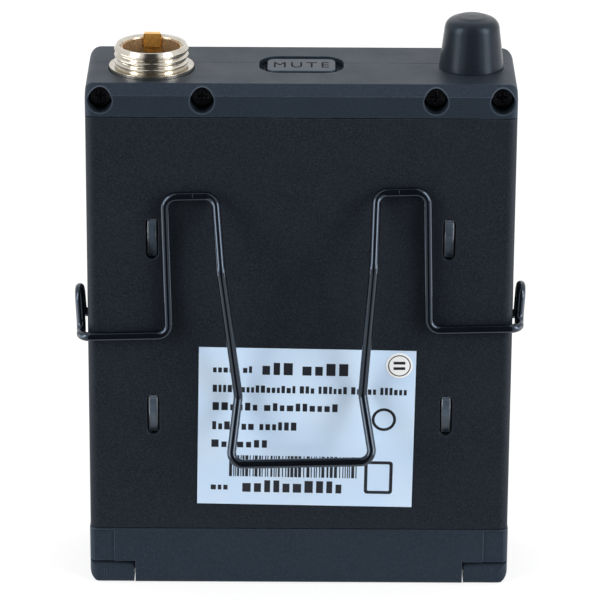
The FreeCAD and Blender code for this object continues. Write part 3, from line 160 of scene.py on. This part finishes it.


# Each edge colour is partly wear and partly a painted highlight on the rounded edges; on the screws it
# paints glints.
looks = {
    "sleevePaint": {"color": (24, 28, 34), "shade": (27, 31, 38), "speck": (38, 44, 51), "fleck": 0.24,
                    "edge": (58, 66, 76), "roughness": 0.5, "grain": 0.2, "relief": 0.5, "depth": 0.02,
                    "round": 0.2, "specular": 0.14, "sheen": (225, 240, 255)},
    "endPlastic": {"color": (34, 41, 49), "shade": (38, 45, 53), "speck": (44, 51, 60),
                   "edge": (78, 90, 104), "roughness": 0.46, "grain": 0.2, "relief": 0.45, "depth": 0.03,
                   "round": 0.2, "specular": 0.22, "sheen": (170, 210, 255)},
    "buttonPlastic": {"color": (34, 41, 49), "shade": (38, 45, 53), "speck": (44, 51, 60),
                      "edge": (78, 90, 104), "roughness": 0.4, "grain": 0.15, "relief": 0.3,
                      "round": 0.18, "specular": 0.4, "sheen": (170, 210, 255)},
    "keyRubber": {"color": (52, 55, 60), "shade": (46, 49, 54), "roughness": 0.65, "grain": 0.12,
                  "relief": 0.4, "round": 0.3},
    "darkPlastic": {"color": (24, 24, 26), "shade": (30, 30, 32), "roughness": 0.5, "round": 0.15},
    # The tray's colours are lightened to paint the highlight on its snap tabs, and its near-white edge
    # colour is a painted highlight too.
    "trayPlasticPaintedHighlight": {"color": (54, 64, 76), "shade": (76, 88, 102), "edge": (225, 230, 236), "roughness": 0.3,
                    "specular": 0.6, "grain": 0.5, "relief": 0.3, "round": 0.3, "mottle": 1.2},
    "antennaPlastic": {"color": (26, 31, 39), "shade": (30, 35, 43), "roughness": 0.28, "grain": 0.14,
                       "relief": 0.2, "depth": 0.02, "round": 0.25, "specular": 0.27,
                       "sheen": (215, 235, 255)},
    "whitePlastic": {"color": (220, 220, 214), "shade": (206, 206, 200), "roughness": 0.45},
    "blackSteel": {"color": (32, 32, 37), "shade": (54, 54, 60), "edge": (200, 202, 208), "roughness": 0.2,
                   "specular": 0.4, "grain": 0.3, "relief": 0.5, "round": 0.1, "mottle": 1.2},
    "clipPlating": {"color": (7, 9, 13), "shade": (11, 13, 18), "roughness": 0.08, "uneven": 0.02,
                    "grain": 0.6, "relief": 0.05, "depth": 0.01, "round": 0.05, "mottle": 3,
                    "specular": 0.75, "sheen": (205, 228, 255)},
    "nickel": {"color": (214, 208, 196), "shade": (190, 184, 172), "roughness": 0.16, "metallic": 1.0,
               "uneven": 0.06, "grain": 0.3, "relief": 0.1, "depth": 0.01, "round": 0.08, "mottle": 2},
    "brassPlating": {"color": (232, 190, 120), "shade": (206, 160, 92), "roughness": 0.22, "metallic": 1.0,
                     "grain": 0.3, "relief": 0.1, "depth": 0.01, "round": 0.08, "mottle": 2},
    "copperWire": {"color": (196, 110, 66), "shade": (160, 84, 48), "roughness": 0.25, "metallic": 1.0},
    "contactSteel": {"color": (190, 190, 186), "shade": (160, 160, 156), "roughness": 0.28, "metallic": 1.0,
                     "mottle": 2},
    "tinPlate": {"color": (200, 200, 196), "shade": (176, 176, 172), "roughness": 0.3, "metallic": 1.0},
    "boardGreen": {"color": (20, 84, 48), "shade": (26, 96, 56), "edge": (150, 150, 96), "roughness": 0.3,
                   "mottle": 4, "coat": 0.4},
    "displayGlass": {"color": (142, 150, 128), "shade": (136, 144, 122), "roughness": 0.3},
    "labelFilm": {"color": (203, 228, 255), "shade": (212, 232, 252), "roughness": 0.32, "grain": 0.5,
                  "relief": 0.1, "depth": 0.01, "round": 0.05, "coat": 0.25, "coatRoughness": 0.15},
    "dotFilm": {"color": (255, 255, 255), "shade": (252, 254, 255), "roughness": 0.35, "round": 0.05},
    "foam": {"color": (58, 58, 60), "shade": (44, 44, 46), "roughness": 0.95, "grain": 0.35, "relief": 1.0,
             "depth": 0.2, "round": 0.5},
    "printInk": {"color": (22, 26, 34), "shade": (30, 34, 42), "roughness": 0.4, "round": 0.02},
}
materials = {name: makeMaterial(name, look) for name, look in looks.items()}

windowLook = {"color": (16, 20, 24), "streak": 8, "roughness": 0.06, "uneven": 0.08, "solid": 0.32,
              "ior": 1.49}


def makeWindowMaterial(look):
    material, tree, shader = newTree("windowGlass")
    coords = addNode(tree, "ShaderNodeTexCoord").outputs["Object"]
    smear = noise(tree, coords, 6, 4)
    rough = spread(tree, smear, look["roughness"], look["roughness"] + look["uneven"])
    tree.links.new(rough, shader.inputs["Roughness"])
    streaks = [part + look["streak"] for part in look["color"]]
    tint = blendColors(tree, smear, srgb(*look["color"]), srgb(*streaks))
    tree.links.new(tint, shader.inputs["Base Color"])
    shader.inputs["Alpha"].default_value = look["solid"]
    shader.inputs["IOR"].default_value = look["ior"]
    return material


materials["windowGlass"] = makeWindowMaterial(windowLook)

cellLook = {"color": (28, 29, 32), "band": (176, 128, 62), "bare": (186, 186, 182), "bandFrom": 0.78,
            "bareEnds": (0.014, 0.966), "roughness": (0.22, 0.34), "round": 0.35}


# The wrap is dark with a copper-coloured band at the positive end, and the can is bare at both ends.
def makeCellMaterial(name, low, high, nubUp, look):
    material, tree, shader = newTree(name)
    coords = addNode(tree, "ShaderNodeTexCoord").outputs["Object"]
    height = addNode(tree, "ShaderNodeSeparateXYZ", {0: coords}).outputs["Z"]
    start, stop = (low, high) if nubUp else (high, low)
    along = addNode(tree, "ShaderNodeMapRange", {"Value": height, "From Min": start, "From Max": stop})
    along = along.outputs[0]
    band = math2(tree, "GREATER_THAN", along, look["bandFrom"])
    foot, crown = look["bareEnds"]
    atFoot, atCrown = math2(tree, "LESS_THAN", along, foot), math2(tree, "GREATER_THAN", along, crown)
    bare = math2(tree, "ADD", atFoot, atCrown)
    wrap = blendColors(tree, band, srgb(*look["color"]), srgb(*look["band"]))
    tree.links.new(blendColors(tree, bare, wrap, srgb(*look["bare"])), shader.inputs["Base Color"])
    tree.links.new(bare, shader.inputs["Metallic"])
    tree.links.new(spread(tree, noise(tree, coords, 4, 3), *look["roughness"]), shader.inputs["Roughness"])
    bevel = addNode(tree, "ShaderNodeBevel", {"Radius": look["round"] * mm}, samples=6)
    tree.links.new(bevel.outputs[0], shader.inputs["Normal"])
    return material


linerLook = {"key": (252, 200, 110), "wall": (214, 186, 146), "halfKey": 1.35, "roughness": (0.20, 0.33),
             "metal": 0.75, "bandSize": 1.2, "dull": 0.75, "patchSize": 0.8}


# The key is gold coloured; the rest of the bore is paler.
def makeLinerMaterial(look):
    material, tree, shader = newTree("linerPlating")
    coords = addNode(tree, "ShaderNodeTexCoord").outputs["Object"]
    low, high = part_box("connector_liner")
    across = addNode(tree, "ShaderNodeSeparateXYZ", {0: coords}).outputs["X"]
    away = math2(tree, "ABSOLUTE", math2(tree, "SUBTRACT", across, (low.x + high.x) / 2), 0)
    wall = math2(tree, "GREATER_THAN", away, look["halfKey"] * mm)
    bands = spread(tree, noise(tree, coords, look["bandSize"], 3), look["dull"], 1.0)
    plating = blendColors(tree, wall, srgb(*look["key"]), srgb(*look["wall"]))
    tone = addNode(tree, "ShaderNodeVectorMath", {0: plating, "Scale": bands}, operation="SCALE").outputs[0]
    tree.links.new(tone, shader.inputs["Base Color"])
    patches = noise(tree, coords, look["patchSize"], 3)
    tree.links.new(spread(tree, patches, *look["roughness"]), shader.inputs["Roughness"])
    shader.inputs["Metallic"].default_value = look["metal"]
    return material


materials["linerPlating"] = makeLinerMaterial(linerLook)

slotMaterials = {
    "sleeve_paint": "sleevePaint", "end_plastic": "endPlastic", "button_plastic": "buttonPlastic",
    "key_rubber": "keyRubber", "dark_plastic": "darkPlastic", "tray_plastic": "trayPlasticPaintedHighlight",
    "antenna_plastic": "antennaPlastic", "white_plastic": "whitePlastic", "black_steel": "blackSteel",
    "clip_plating": "clipPlating", "nickel": "nickel", "brass_plating": "brassPlating",
    "copper_wire": "copperWire", "contact_steel": "contactSteel", "tin_plate": "tinPlate",
    "board_green": "boardGreen", "window_glass": "windowGlass", "display_glass": "displayGlass",
    "label_film": "labelFilm", "foam": "foam",
}


def dress(obj, material):
    obj.data.materials.clear()
    obj.data.materials.append(material)


for subpart in frame["record"]["subparts"]:
    node = nodes[subpart["node"]]
    slotName = subpart["material_slot"]
    if slotName == "cell_wrap":
        low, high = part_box(subpart["node"])
        nubUp = subpart["node"].endswith("left")
        dress(node, makeCellMaterial(subpart["node"] + "Wrap", low.z, high.z, nubUp, cellLook))
    else:
        dress(node, materials[slotMaterials[slotName]])
dress(nodes["connector_liner"], materials["linerPlating"])
dress(nodes["inspection_dot"], materials["dotFilm"])
print("materials made", len(bpy.data.materials))


# Mesh helpers: outlines are lists of (across, up) points.

def newPiece(name, build, material, body):
    mesh = bpy.data.meshes.new(name)
    shape = bmesh.new()
    build(shape)
    bmesh.ops.recalc_face_normals(shape, faces=shape.faces)
    shape.to_mesh(mesh)
    shape.free()
    obj = bpy.data.objects.new(name, mesh)
    bpy.context.scene.collection.objects.link(obj)
    dress(obj, material)
    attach(obj, body)
    return obj


# Extrudes a flat outline by thick, outwards along the place's own Z.
def addPlate(shape, place, outline, thick):
    low = [shape.verts.new(place @ Vector((x, y, 0))) for x, y in outline]
    high = [shape.verts.new(place @ Vector((x, y, thick))) for x, y in outline]
    shape.faces.new(high)
    for index in range(len(outline)):
        after = (index + 1) % len(outline)
        shape.faces.new((low[index], low[after], high[after], high[index]))


def bar(left, right, low, high):
    return [(left, low), (right, low), (right, high), (left, high)]


def roundedBar(left, right, low, high, radius, steps=5):
    points = []
    for turn, (x, y) in enumerate(((right - radius, low + radius), (right - radius, high - radius),
                                   (left + radius, high - radius), (left + radius, low + radius))):
        for step in range(steps + 1):
            angle = (turn - 1 + step / steps) * math.pi / 2
            points.append((x + radius * math.cos(angle), y + radius * math.sin(angle)))
    return points


# A flat ring between two outlines with the same number of points.
def addRing(shape, place, outer, inner, thick):
    count = len(outer)
    rings = [[shape.verts.new(place @ Vector((x, y, z))) for x, y in points]
             for z, points in ((0, outer), (thick, outer), (thick, inner), (0, inner))]
    for before, after in zip(rings, rings[1:]):
        for index in range(count):
            nxt = (index + 1) % count
            shape.faces.new((before[index], before[nxt], after[nxt], after[index]))


# Label print. Places are millimetres from the label's middle.
# Each word is a run of small blocks, and says nothing.
labelPrint = {
    "tilt": 0.85, "ink": 0.012, "seed": 11,
    "rows": ((9.5, 1.1, -14.5, -8.5, (5, 2)), (9.7, 2.0, -6.9, 6.3, (3, 4)),
             (6.3, 1.2, -14.5, 15.4, (5, 11, 3, 6, 5, 6)), (3.35, 1.3, -14.5, 4.8, (6, 10)),
             (0.15, 1.35, -14.5, -1.5, (4, 2, 6)), (-2.85, 1.25, -14.6, -6.0, (7,)),
             (-10.1, 1.1, -14.6, -12.0, (3,)), (-9.95, 2.0, -9.7, 5.7, (10,))),
    "blockWidths": (0.42, 0.5, 0.6), "blockRises": (0.5, 0.5, 0.24, 0.24, 0.24),  # shares of a row's height
    "blockGap": 0.24, "wordGap": 0.4,
    "bars": (-11.8, 8.1, -8.35, -4.8), "barWidths": (0.16, 0.16, 0.3, 0.46), "barGaps": (0.14, 0.2, 0.34),
    "box": (9.2, 13.6, -10.9, -5.4), "boxLine": 0.5, "boxRound": (0.5, 0.2),
    "disc": (12.0, 1.6, 1.9), "discLine": 0.45,
}
nearlyRound = 0.999  # share of the half width that leaves a short flat, so that no points coincide


# Left edge, width and rise above the middle of each block, in one row that starts at zero.
def wordRun(draw, height, words):
    look = labelPrint
    blocks, left = [], 0
    for count in words:
        for _ in range(count):
            width = height * draw.choice(look["blockWidths"])
            blocks.append((left, width, height * draw.choice(look["blockRises"])))
            left += width + height * look["blockGap"]
        left += height * look["wordGap"]
    return blocks


def buildLabelPrint(shape):
    look = labelPrint
    low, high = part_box("rating_label")
    middle = (low + high) / 2
    upright = Matrix.Rotation(math.radians(90), 4, "X")
    tilt = Matrix.Rotation(math.radians(look["tilt"]), 4, "Y")
    place = Matrix.Translation((middle.x, low.y, middle.z)) @ tilt @ upright @ Matrix.Scale(mm, 4)
    ink = look["ink"]
    draw = random.Random(look["seed"])
    for up, height, start, stop, words in look["rows"]:
        blocks = wordRun(draw, height, words)
        fit = (stop - start) / (blocks[-1][0] + blocks[-1][1])
        for left, width, rise in blocks:
            x = start + left * fit
            addPlate(shape, place, bar(x, x + width * fit, up - height / 2, up + rise), ink)
    x, right, low, high = look["bars"]
    while x < right:
        width = draw.choice(look["barWidths"])
        addPlate(shape, place, bar(x, min(x + width, right), low, high), ink)
        x += width + draw.choice(look["barGaps"])
    left, right, low, high = look["box"]
    line = look["boxLine"]
    outerRound, innerRound = look["boxRound"]
    addRing(shape, place, roundedBar(left, right, low, high, outerRound),
            roundedBar(left + line, right - line, low + line, high - line, innerRound), ink)
    x, y, radius = look["disc"]
    line, corner = look["discLine"], radius * nearlyRound
    addRing(shape, place, roundedBar(x - radius, x + radius, y - radius, y + radius, corner),
            roundedBar(x - radius + line, x + radius - line, y - radius + line, y + radius - line,
                       corner - line), ink)


newPiece("labelPrint", buildLabelPrint, materials["printInk"], "case")

dotPrint = {"ring": 1.75, "width": 0.16, "ink": 0.012, "dashes": (0.45, -0.45), "halfDash": 0.9,
            "halfLine": 0.22}


def buildDotPrint(shape):
    low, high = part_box("inspection_dot")
    middle = (low + high) / 2
    place = Matrix.Translation((middle.x, low.y, middle.z)) @ Matrix.Rotation(math.radians(90), 4, "X") \
        @ Matrix.Scale(mm, 4)
    look = dotPrint
    outer, inner = look["ring"], look["ring"] - look["width"]
    addRing(shape, place, roundedBar(-outer, outer, -outer, outer, outer * nearlyRound, 9),
            roundedBar(-inner, inner, -inner, inner, inner * nearlyRound, 9), look["ink"])
    half, line = look["halfDash"], look["halfLine"]
    for up in look["dashes"]:
        addPlate(shape, place, bar(-half, half, up - line, up + line), look["ink"])


newPiece("dotPrint", buildDotPrint, materials["printInk"], "case")
print("label printed")

# Button marking: dark letters raised a little above the button's top, a painted shade for the engraved
# grooves of the letters.

muteMark = {"word": "MUTE", "length": 8.4, "height": 2.6, "raise": 0.02, "gap": 1.3,
            "paint": {"color": (20, 26, 34), "roughness": 0.8, "specular": 0.08, "round": 0.01}}


def addWord(name, look, material, middle, body):
    curve = bpy.data.curves.new(name, "FONT")
    curve.body = look["word"]
    curve.align_x = curve.align_y = "CENTER"
    curve.extrude = look["raise"] * mm / 2
    curve.space_character = look["gap"]
    obj = bpy.data.objects.new(name, curve)
    bpy.context.scene.collection.objects.link(obj)
    bpy.context.view_layer.update()
    mesh = bpy.data.meshes.new_from_object(obj.evaluated_get(bpy.context.evaluated_depsgraph_get()))
    bpy.data.objects.remove(obj)
    low, high = [Vector([pick(vertex.co[axis] for vertex in mesh.vertices) for axis in range(3)])
                 for pick in (min, max)]
    size = high - low
    scale = Matrix.Diagonal((look["length"] * mm / size.x, look["height"] * mm / size.y, 1, 1))
    mesh.transform(Matrix.Translation(middle) @ scale @ Matrix.Translation(-(low + high) / 2))
    piece = bpy.data.objects.new(name, mesh)
    bpy.context.scene.collection.objects.link(piece)
    dress(piece, material)
    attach(piece, body)
    return piece


low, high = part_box("mute_button")
markMiddle = Vector(((low.x + high.x) / 2, (low.y + high.y) / 2, high.z + muteMark["raise"] * mm / 4))
# The letters' dark paint is painted shade in the engraved letter grooves.
materials["letterGrooveShade"] = makeMaterial("letterGrooveShade", muteMark["paint"])
addWord("muteMark", muteMark, materials["letterGrooveShade"], markMiddle, "mute_button_body")
print("button marked")


# Painted highlight rings on the rims of the screw holes; the head's back face slopes away above the crease.

rimHighlightLook = {"inner": 1.86, "outer": 2.02, "raise": 0.015, "steps": 40, "across": (-30.3, -14.95, 20.25, 30.3),
           "up": 79.2, "back": -10.5, "crease": 80.1, "slope": 2.0 / 1.4, "sink": 0.1,
           "paint": {"color": (60, 70, 82), "roughness": 0.4, "round": 0.01, "specular": 0.3}}


def buildRimHighlights(shape):
    look = rimHighlightLook
    inner, outer, proud, sunk = look["inner"], look["outer"], look["raise"], -look["sink"]
    for across in look["across"]:
        rows = []
        for radius, lift in ((inner, sunk), (inner, proud), (outer, proud), (outer, sunk)):
            row = []
            for index in range(look["steps"]):
                angle = math.tau * index / look["steps"]
                x, z = across + radius * math.cos(angle), look["up"] + radius * math.sin(angle)
                y = look["back"] + max(0, z - look["crease"]) * look["slope"] - lift
                row.append(shape.verts.new((x * mm, y * mm, z * mm)))
            rows.append(row)
        for before, after in zip(rows, rows[1:]):
            for index in range(len(before)):
                nxt = (index + 1) % len(before)
                shape.faces.new((before[index], before[nxt], after[nxt], after[index]))


# The rings' lighter paint is a painted highlight on the hole rims.
materials["rimHighlightPaint"] = makeMaterial("rimHighlightPaint", rimHighlightLook["paint"])
newPiece("screwRimHighlights", buildRimHighlights, materials["rimHighlightPaint"], "case")
print("screw rims laid")


# Front face. This is a place on a face that looks along +Y: its X runs to the viewer's right, its Y up.
def facing(point):
    across = Matrix(((-1, 0, 0), (0, 0, 1), (0, 1, 0))).to_4x4()
    return Matrix.Translation(point) @ across @ Matrix.Scale(mm, 4)


displayMarks = {"ink": 0.02, "battery": (-11.5, 2.4, 4.6, 2.4), "line": 0.2, "cells": 3, "cellInset": 0.45,
                "cellGap": 0.25, "cap": (0.05, 0.4, 0.5), "meter": (-5.0, 0.9, 0.45, 10),
                "meterFoot": 0.9, "meterTop": -0.3, "meterRise": 0.15, "rule": (-12.0, 12.0, -0.4),
                "halfRule": 0.06, "digits": (1.2, -2.7, 2.2, 3.6, 3.0), "digitLine": 0.5}


def buildDisplayMarks(shape):
    low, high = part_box("display_module")
    place = facing(Vector(((low.x + high.x) / 2, high.y, (low.z + high.z) / 2)))
    look = displayMarks
    ink, line, inset = look["ink"], look["line"], look["cellInset"]
    left, up, width, height = look["battery"]
    right, foot, top = left + width, up - height / 2, up + height / 2
    addRing(shape, place, roundedBar(left, right, foot, top, line),
            roundedBar(left + line, right - line, foot + line, top - line, line * 0.4), ink)
    near, far, half = look["cap"]
    addPlate(shape, place, bar(right + near, right + far, up - half, up + half), ink)
    step = (width - 0.8) / look["cells"]
    for index in range(look["cells"]):
        start = left + inset + index * step
        addPlate(shape, place, bar(start, start + step - look["cellGap"], foot + inset, top - inset), ink)
    start, pitch, width, count = look["meter"]
    for index in range(count):
        x = start + index * pitch
        top = up + look["meterTop"] + index * look["meterRise"]
        addPlate(shape, place, bar(x, x + width, up - look["meterFoot"], top), ink)
    left, right, level = look["rule"]
    addPlate(shape, place, bar(left, right, level - look["halfRule"], level + look["halfRule"]), ink)
    x, middleUp, width, height, pitch = look["digits"]
    foot, top, line = middleUp - height / 2, middleUp + height / 2, look["digitLine"]
    for index in range(3):
        start = x + index * pitch - pitch * 1.5
        addRing(shape, place, roundedBar(start, start + width, foot, top, 0.3),
                roundedBar(start + line, start + width - line, foot + line, top - line, 0.1), ink)


newPiece("displayMarks", buildDisplayMarks, materials["printInk"], "case")

keyMarks = {"ring": 1.25, "line": 0.28, "raise": 0.04, "stroke": 1.1, "strokeTop": 0.25, "gapAngle": 34,
            "squareShare": 0.72, "paint": {"color": (196, 198, 196), "roughness": 0.5, "round": 0.01}}


def buildPowerMark(shape):
    low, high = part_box("power_key")
    place = facing(Vector(((low.x + high.x) / 2, high.y, (low.z + high.z) / 2)))
    radius, line, lift = keyMarks["ring"], keyMarks["line"], keyMarks["raise"]
    steps, gap = 28, math.radians(keyMarks["gapAngle"])
    points = []
    for index in range(steps + 1):
        angle = math.pi / 2 + gap + index / steps * (math.tau - 2 * gap)
        points.append((math.cos(angle), math.sin(angle)))
    outline = [(x * radius, y * radius) for x, y in points]
    outline += [(x * (radius - line), y * (radius - line)) for x, y in reversed(points)]
    for index in range(steps):
        quad = [outline[index], outline[index + 1], outline[-index - 2], outline[-index - 1]]
        addPlate(shape, place, quad, lift)
    addPlate(shape, place, bar(-line / 2, line / 2, radius - keyMarks["stroke"],
                               radius + keyMarks["strokeTop"]), lift)


materials["markPaint"] = makeMaterial("markPaint", keyMarks["paint"])
newPiece("powerMark", buildPowerMark, materials["markPaint"], "power_key_body")


def buildSetMark(shape):
    low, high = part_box("set_key")
    place = facing(Vector(((low.x + high.x) / 2, high.y, (low.z + high.z) / 2)))
    side = keyMarks["ring"] * keyMarks["squareShare"]
    outline = roundedBar(-side, side, -side, side, 0.3)
    line = keyMarks["line"]
    addRing(shape, place, outline, roundedBar(-side + line, side - line, -side + line, side - line, 0.12),
            keyMarks["raise"])


newPiece("setMark", buildSetMark, materials["markPaint"], "set_key_body")

doorGrip = {"ribs": 6, "pitch": 1.5, "width": 0.8, "length": 20, "height": 0.25, "top": 4.0, "taper": 0.8,
            "ends": 0.98, "sink": 0.02, "crownLength": 0.985, "crownWidth": 0.45, "panelTop": 12}


# The y of the door's flat outer face, well above its hinge arms.
def doorPanelFront():
    low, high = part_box("battery_door")
    door = nodes["battery_door"]
    points = [door.matrix_world @ vertex.co for vertex in door.data.vertices]
    return max(point.y for point in points if point.z > high.z - doorGrip["panelTop"] * mm)


def buildDoorGrip(shape):
    low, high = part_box("battery_door")
    look = doorGrip
    panelFront = doorPanelFront()
    for index in range(look["ribs"]):
        up = high.z / mm - look["top"] - index * look["pitch"]
        place = facing(Vector((0, panelFront, up * mm)))
        half, tall = look["length"] / 2 - index * look["taper"], look["width"] / 2
        outline = roundedBar(-half, half, -tall, tall, tall * look["ends"])
        base = [shape.verts.new(place @ Vector((x, y, -look["sink"]))) for x, y in outline]
        crown = [shape.verts.new(place @ Vector((x * look["crownLength"], y * look["crownWidth"],
                                                 look["height"]))) for x, y in outline]
        shape.faces.new(crown)
        for turn in range(len(outline)):
            after = (turn + 1) % len(outline)
            shape.faces.new((base[turn], base[after], crown[after], crown[turn]))


newPiece("doorGrip", buildDoorGrip, materials["endPlastic"], "door")
print("front marked")

# Stage: a floor that keeps the shadow, and a white room with a dark gap in front of the clip.

# The floor runs from front to reach, in metres; gap is a range of cosines about the way that the clip faces.
stageLook = {"floor": 0.34, "lift": 0.7, "dull": 0.9, "shine": 0.1, "front": -0.038, "reach": 3, "room": 0.8,
             "dim": 0.05, "gap": (0.86, 0.93), "white": (1, 1, 1, 1)}


# Camera, mirror and glass rays see the white of the floor and the room.
def seenRays(tree):
    path = addNode(tree, "ShaderNodeLightPath")
    shown = math2(tree, "MAXIMUM", path.outputs["Is Camera Ray"], path.outputs["Is Transmission Ray"])
    return shown, path.outputs["Is Glossy Ray"]


def makeStage():
    mesh = bpy.data.meshes.new("floor")
    front, reach = stageLook["front"], stageLook["reach"]
    corners = [(-reach, front, 0), (reach, front, 0), (reach, reach, 0), (-reach, reach, 0)]
    mesh.from_pydata(corners, [], [(0, 1, 2, 3)])
    floor = bpy.data.objects.new("floor", mesh)
    bpy.context.scene.collection.objects.link(floor)
    material, tree, shader = newTree("floorPaint")
    level = stageLook["floor"]
    shader.inputs["Base Color"].default_value = (level, level, level, 1)
    shader.inputs["Roughness"].default_value = stageLook["dull"]
    shader.inputs["Specular IOR Level"].default_value = stageLook["shine"]
    shown, glossy = seenRays(tree)
    seen = math2(tree, "MAXIMUM", shown, glossy)
    shader.inputs["Emission Color"].default_value = stageLook["white"]
    tree.links.new(math2(tree, "MULTIPLY", seen, stageLook["lift"]), shader.inputs["Emission Strength"])
    mesh.materials.append(material)
    floor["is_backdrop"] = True

    world = bpy.data.worlds.new("room")
    bpy.context.scene.world = world
    world.use_nodes = True
    tree = world.node_tree
    shown, glossy = seenRays(tree)
    direction = addNode(tree, "ShaderNodeTexCoord").outputs["Generated"]
    flat = addNode(tree, "ShaderNodeVectorMath", {0: direction, 1: (1, 1, 0)}, operation="MULTIPLY")
    flat = addNode(tree, "ShaderNodeVectorMath", {0: flat.outputs[0]}, operation="NORMALIZE")
    ahead = addNode(tree, "ShaderNodeVectorMath", {0: flat.outputs[0], 1: (0, -1, 0)},
                    operation="DOT_PRODUCT")
    gap = spread(tree, ahead.outputs["Value"], 1.0, stageLook["dim"], *stageLook["gap"])
    level = math2(tree, "MULTIPLY", math2(tree, "MAXIMUM", glossy, stageLook["room"]), gap)
    strength = math2(tree, "MAXIMUM", shown, level)
    background = tree.nodes["Background"]
    background.inputs["Color"].default_value = stageLook["white"]
    tree.links.new(strength, background.inputs["Strength"])


makeStage()

# Soft boxes stand behind and at both sides; the two weak cards light the case's low edges.
lamps = {
    "topBox": {"place": (0.0, 0.9, 0.85), "size": (1.4, 0.7), "power": 1.4},
    "leftBox": {"place": (-0.85, -0.5, 0.4), "size": (0.4, 0.9), "power": 6.5},
    "rightBox": {"place": (0.85, -0.5, 0.4), "size": (0.4, 0.9), "power": 7.5},
    "leftCard": {"place": (-0.105, -0.01, 0.03), "size": (0.07, 0.06), "power": 0.025},
    "rightCard": {"place": (0.105, -0.01, 0.03), "size": (0.07, 0.06), "power": 0.025},
}
target = Vector((0, 0, (cadHigh.z + cadLow.z) / 2))
for name, lamp in lamps.items():
    data = bpy.data.lights.new(name, "AREA")
    data.shape = "RECTANGLE"
    data.size, data.size_y = lamp["size"]
    data.energy = lamp["power"]
    obj = bpy.data.objects.new(name, data)
    bpy.context.scene.collection.objects.link(obj)
    obj.location = Vector(lamp["place"])
    obj.rotation_euler = (target - obj.location).to_track_quat("-Z", "Y").to_euler()
    obj.visible_camera = False

print("stage lit")

shot = {"lens": 243.98, "sensor": 36, "distance": 0.6328, "elevation": 20.73, "azimuth": 0.1225,
        "roll": 0.328, "aim": (-0.00002, 0.0, 0.043505), "clip": (0.05, 20)}


def makeCamera():
    data = bpy.data.cameras.new("camera")
    data.lens = shot["lens"]
    data.sensor_width = shot["sensor"]
    data.clip_start, data.clip_end = shot["clip"]
    camera = bpy.data.objects.new("camera", data)
    bpy.context.scene.collection.objects.link(camera)
    up, turn = math.radians(shot["elevation"]), math.radians(shot["azimuth"])
    look = Vector((math.sin(turn) * math.cos(up), math.cos(turn) * math.cos(up), -math.sin(up)))
    spin = look.to_track_quat("-Z", "Y").to_matrix().to_4x4()
    roll = Matrix.Rotation(math.radians(shot["roll"]), 4, "Z")
    camera.matrix_world = Matrix.Translation(Vector(shot["aim"]) - look * shot["distance"]) @ spin @ roll
    bpy.context.scene.camera = camera


makeCamera()
bpy.context.scene.view_settings.view_transform = "Standard"

low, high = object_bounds()
print("scene done")
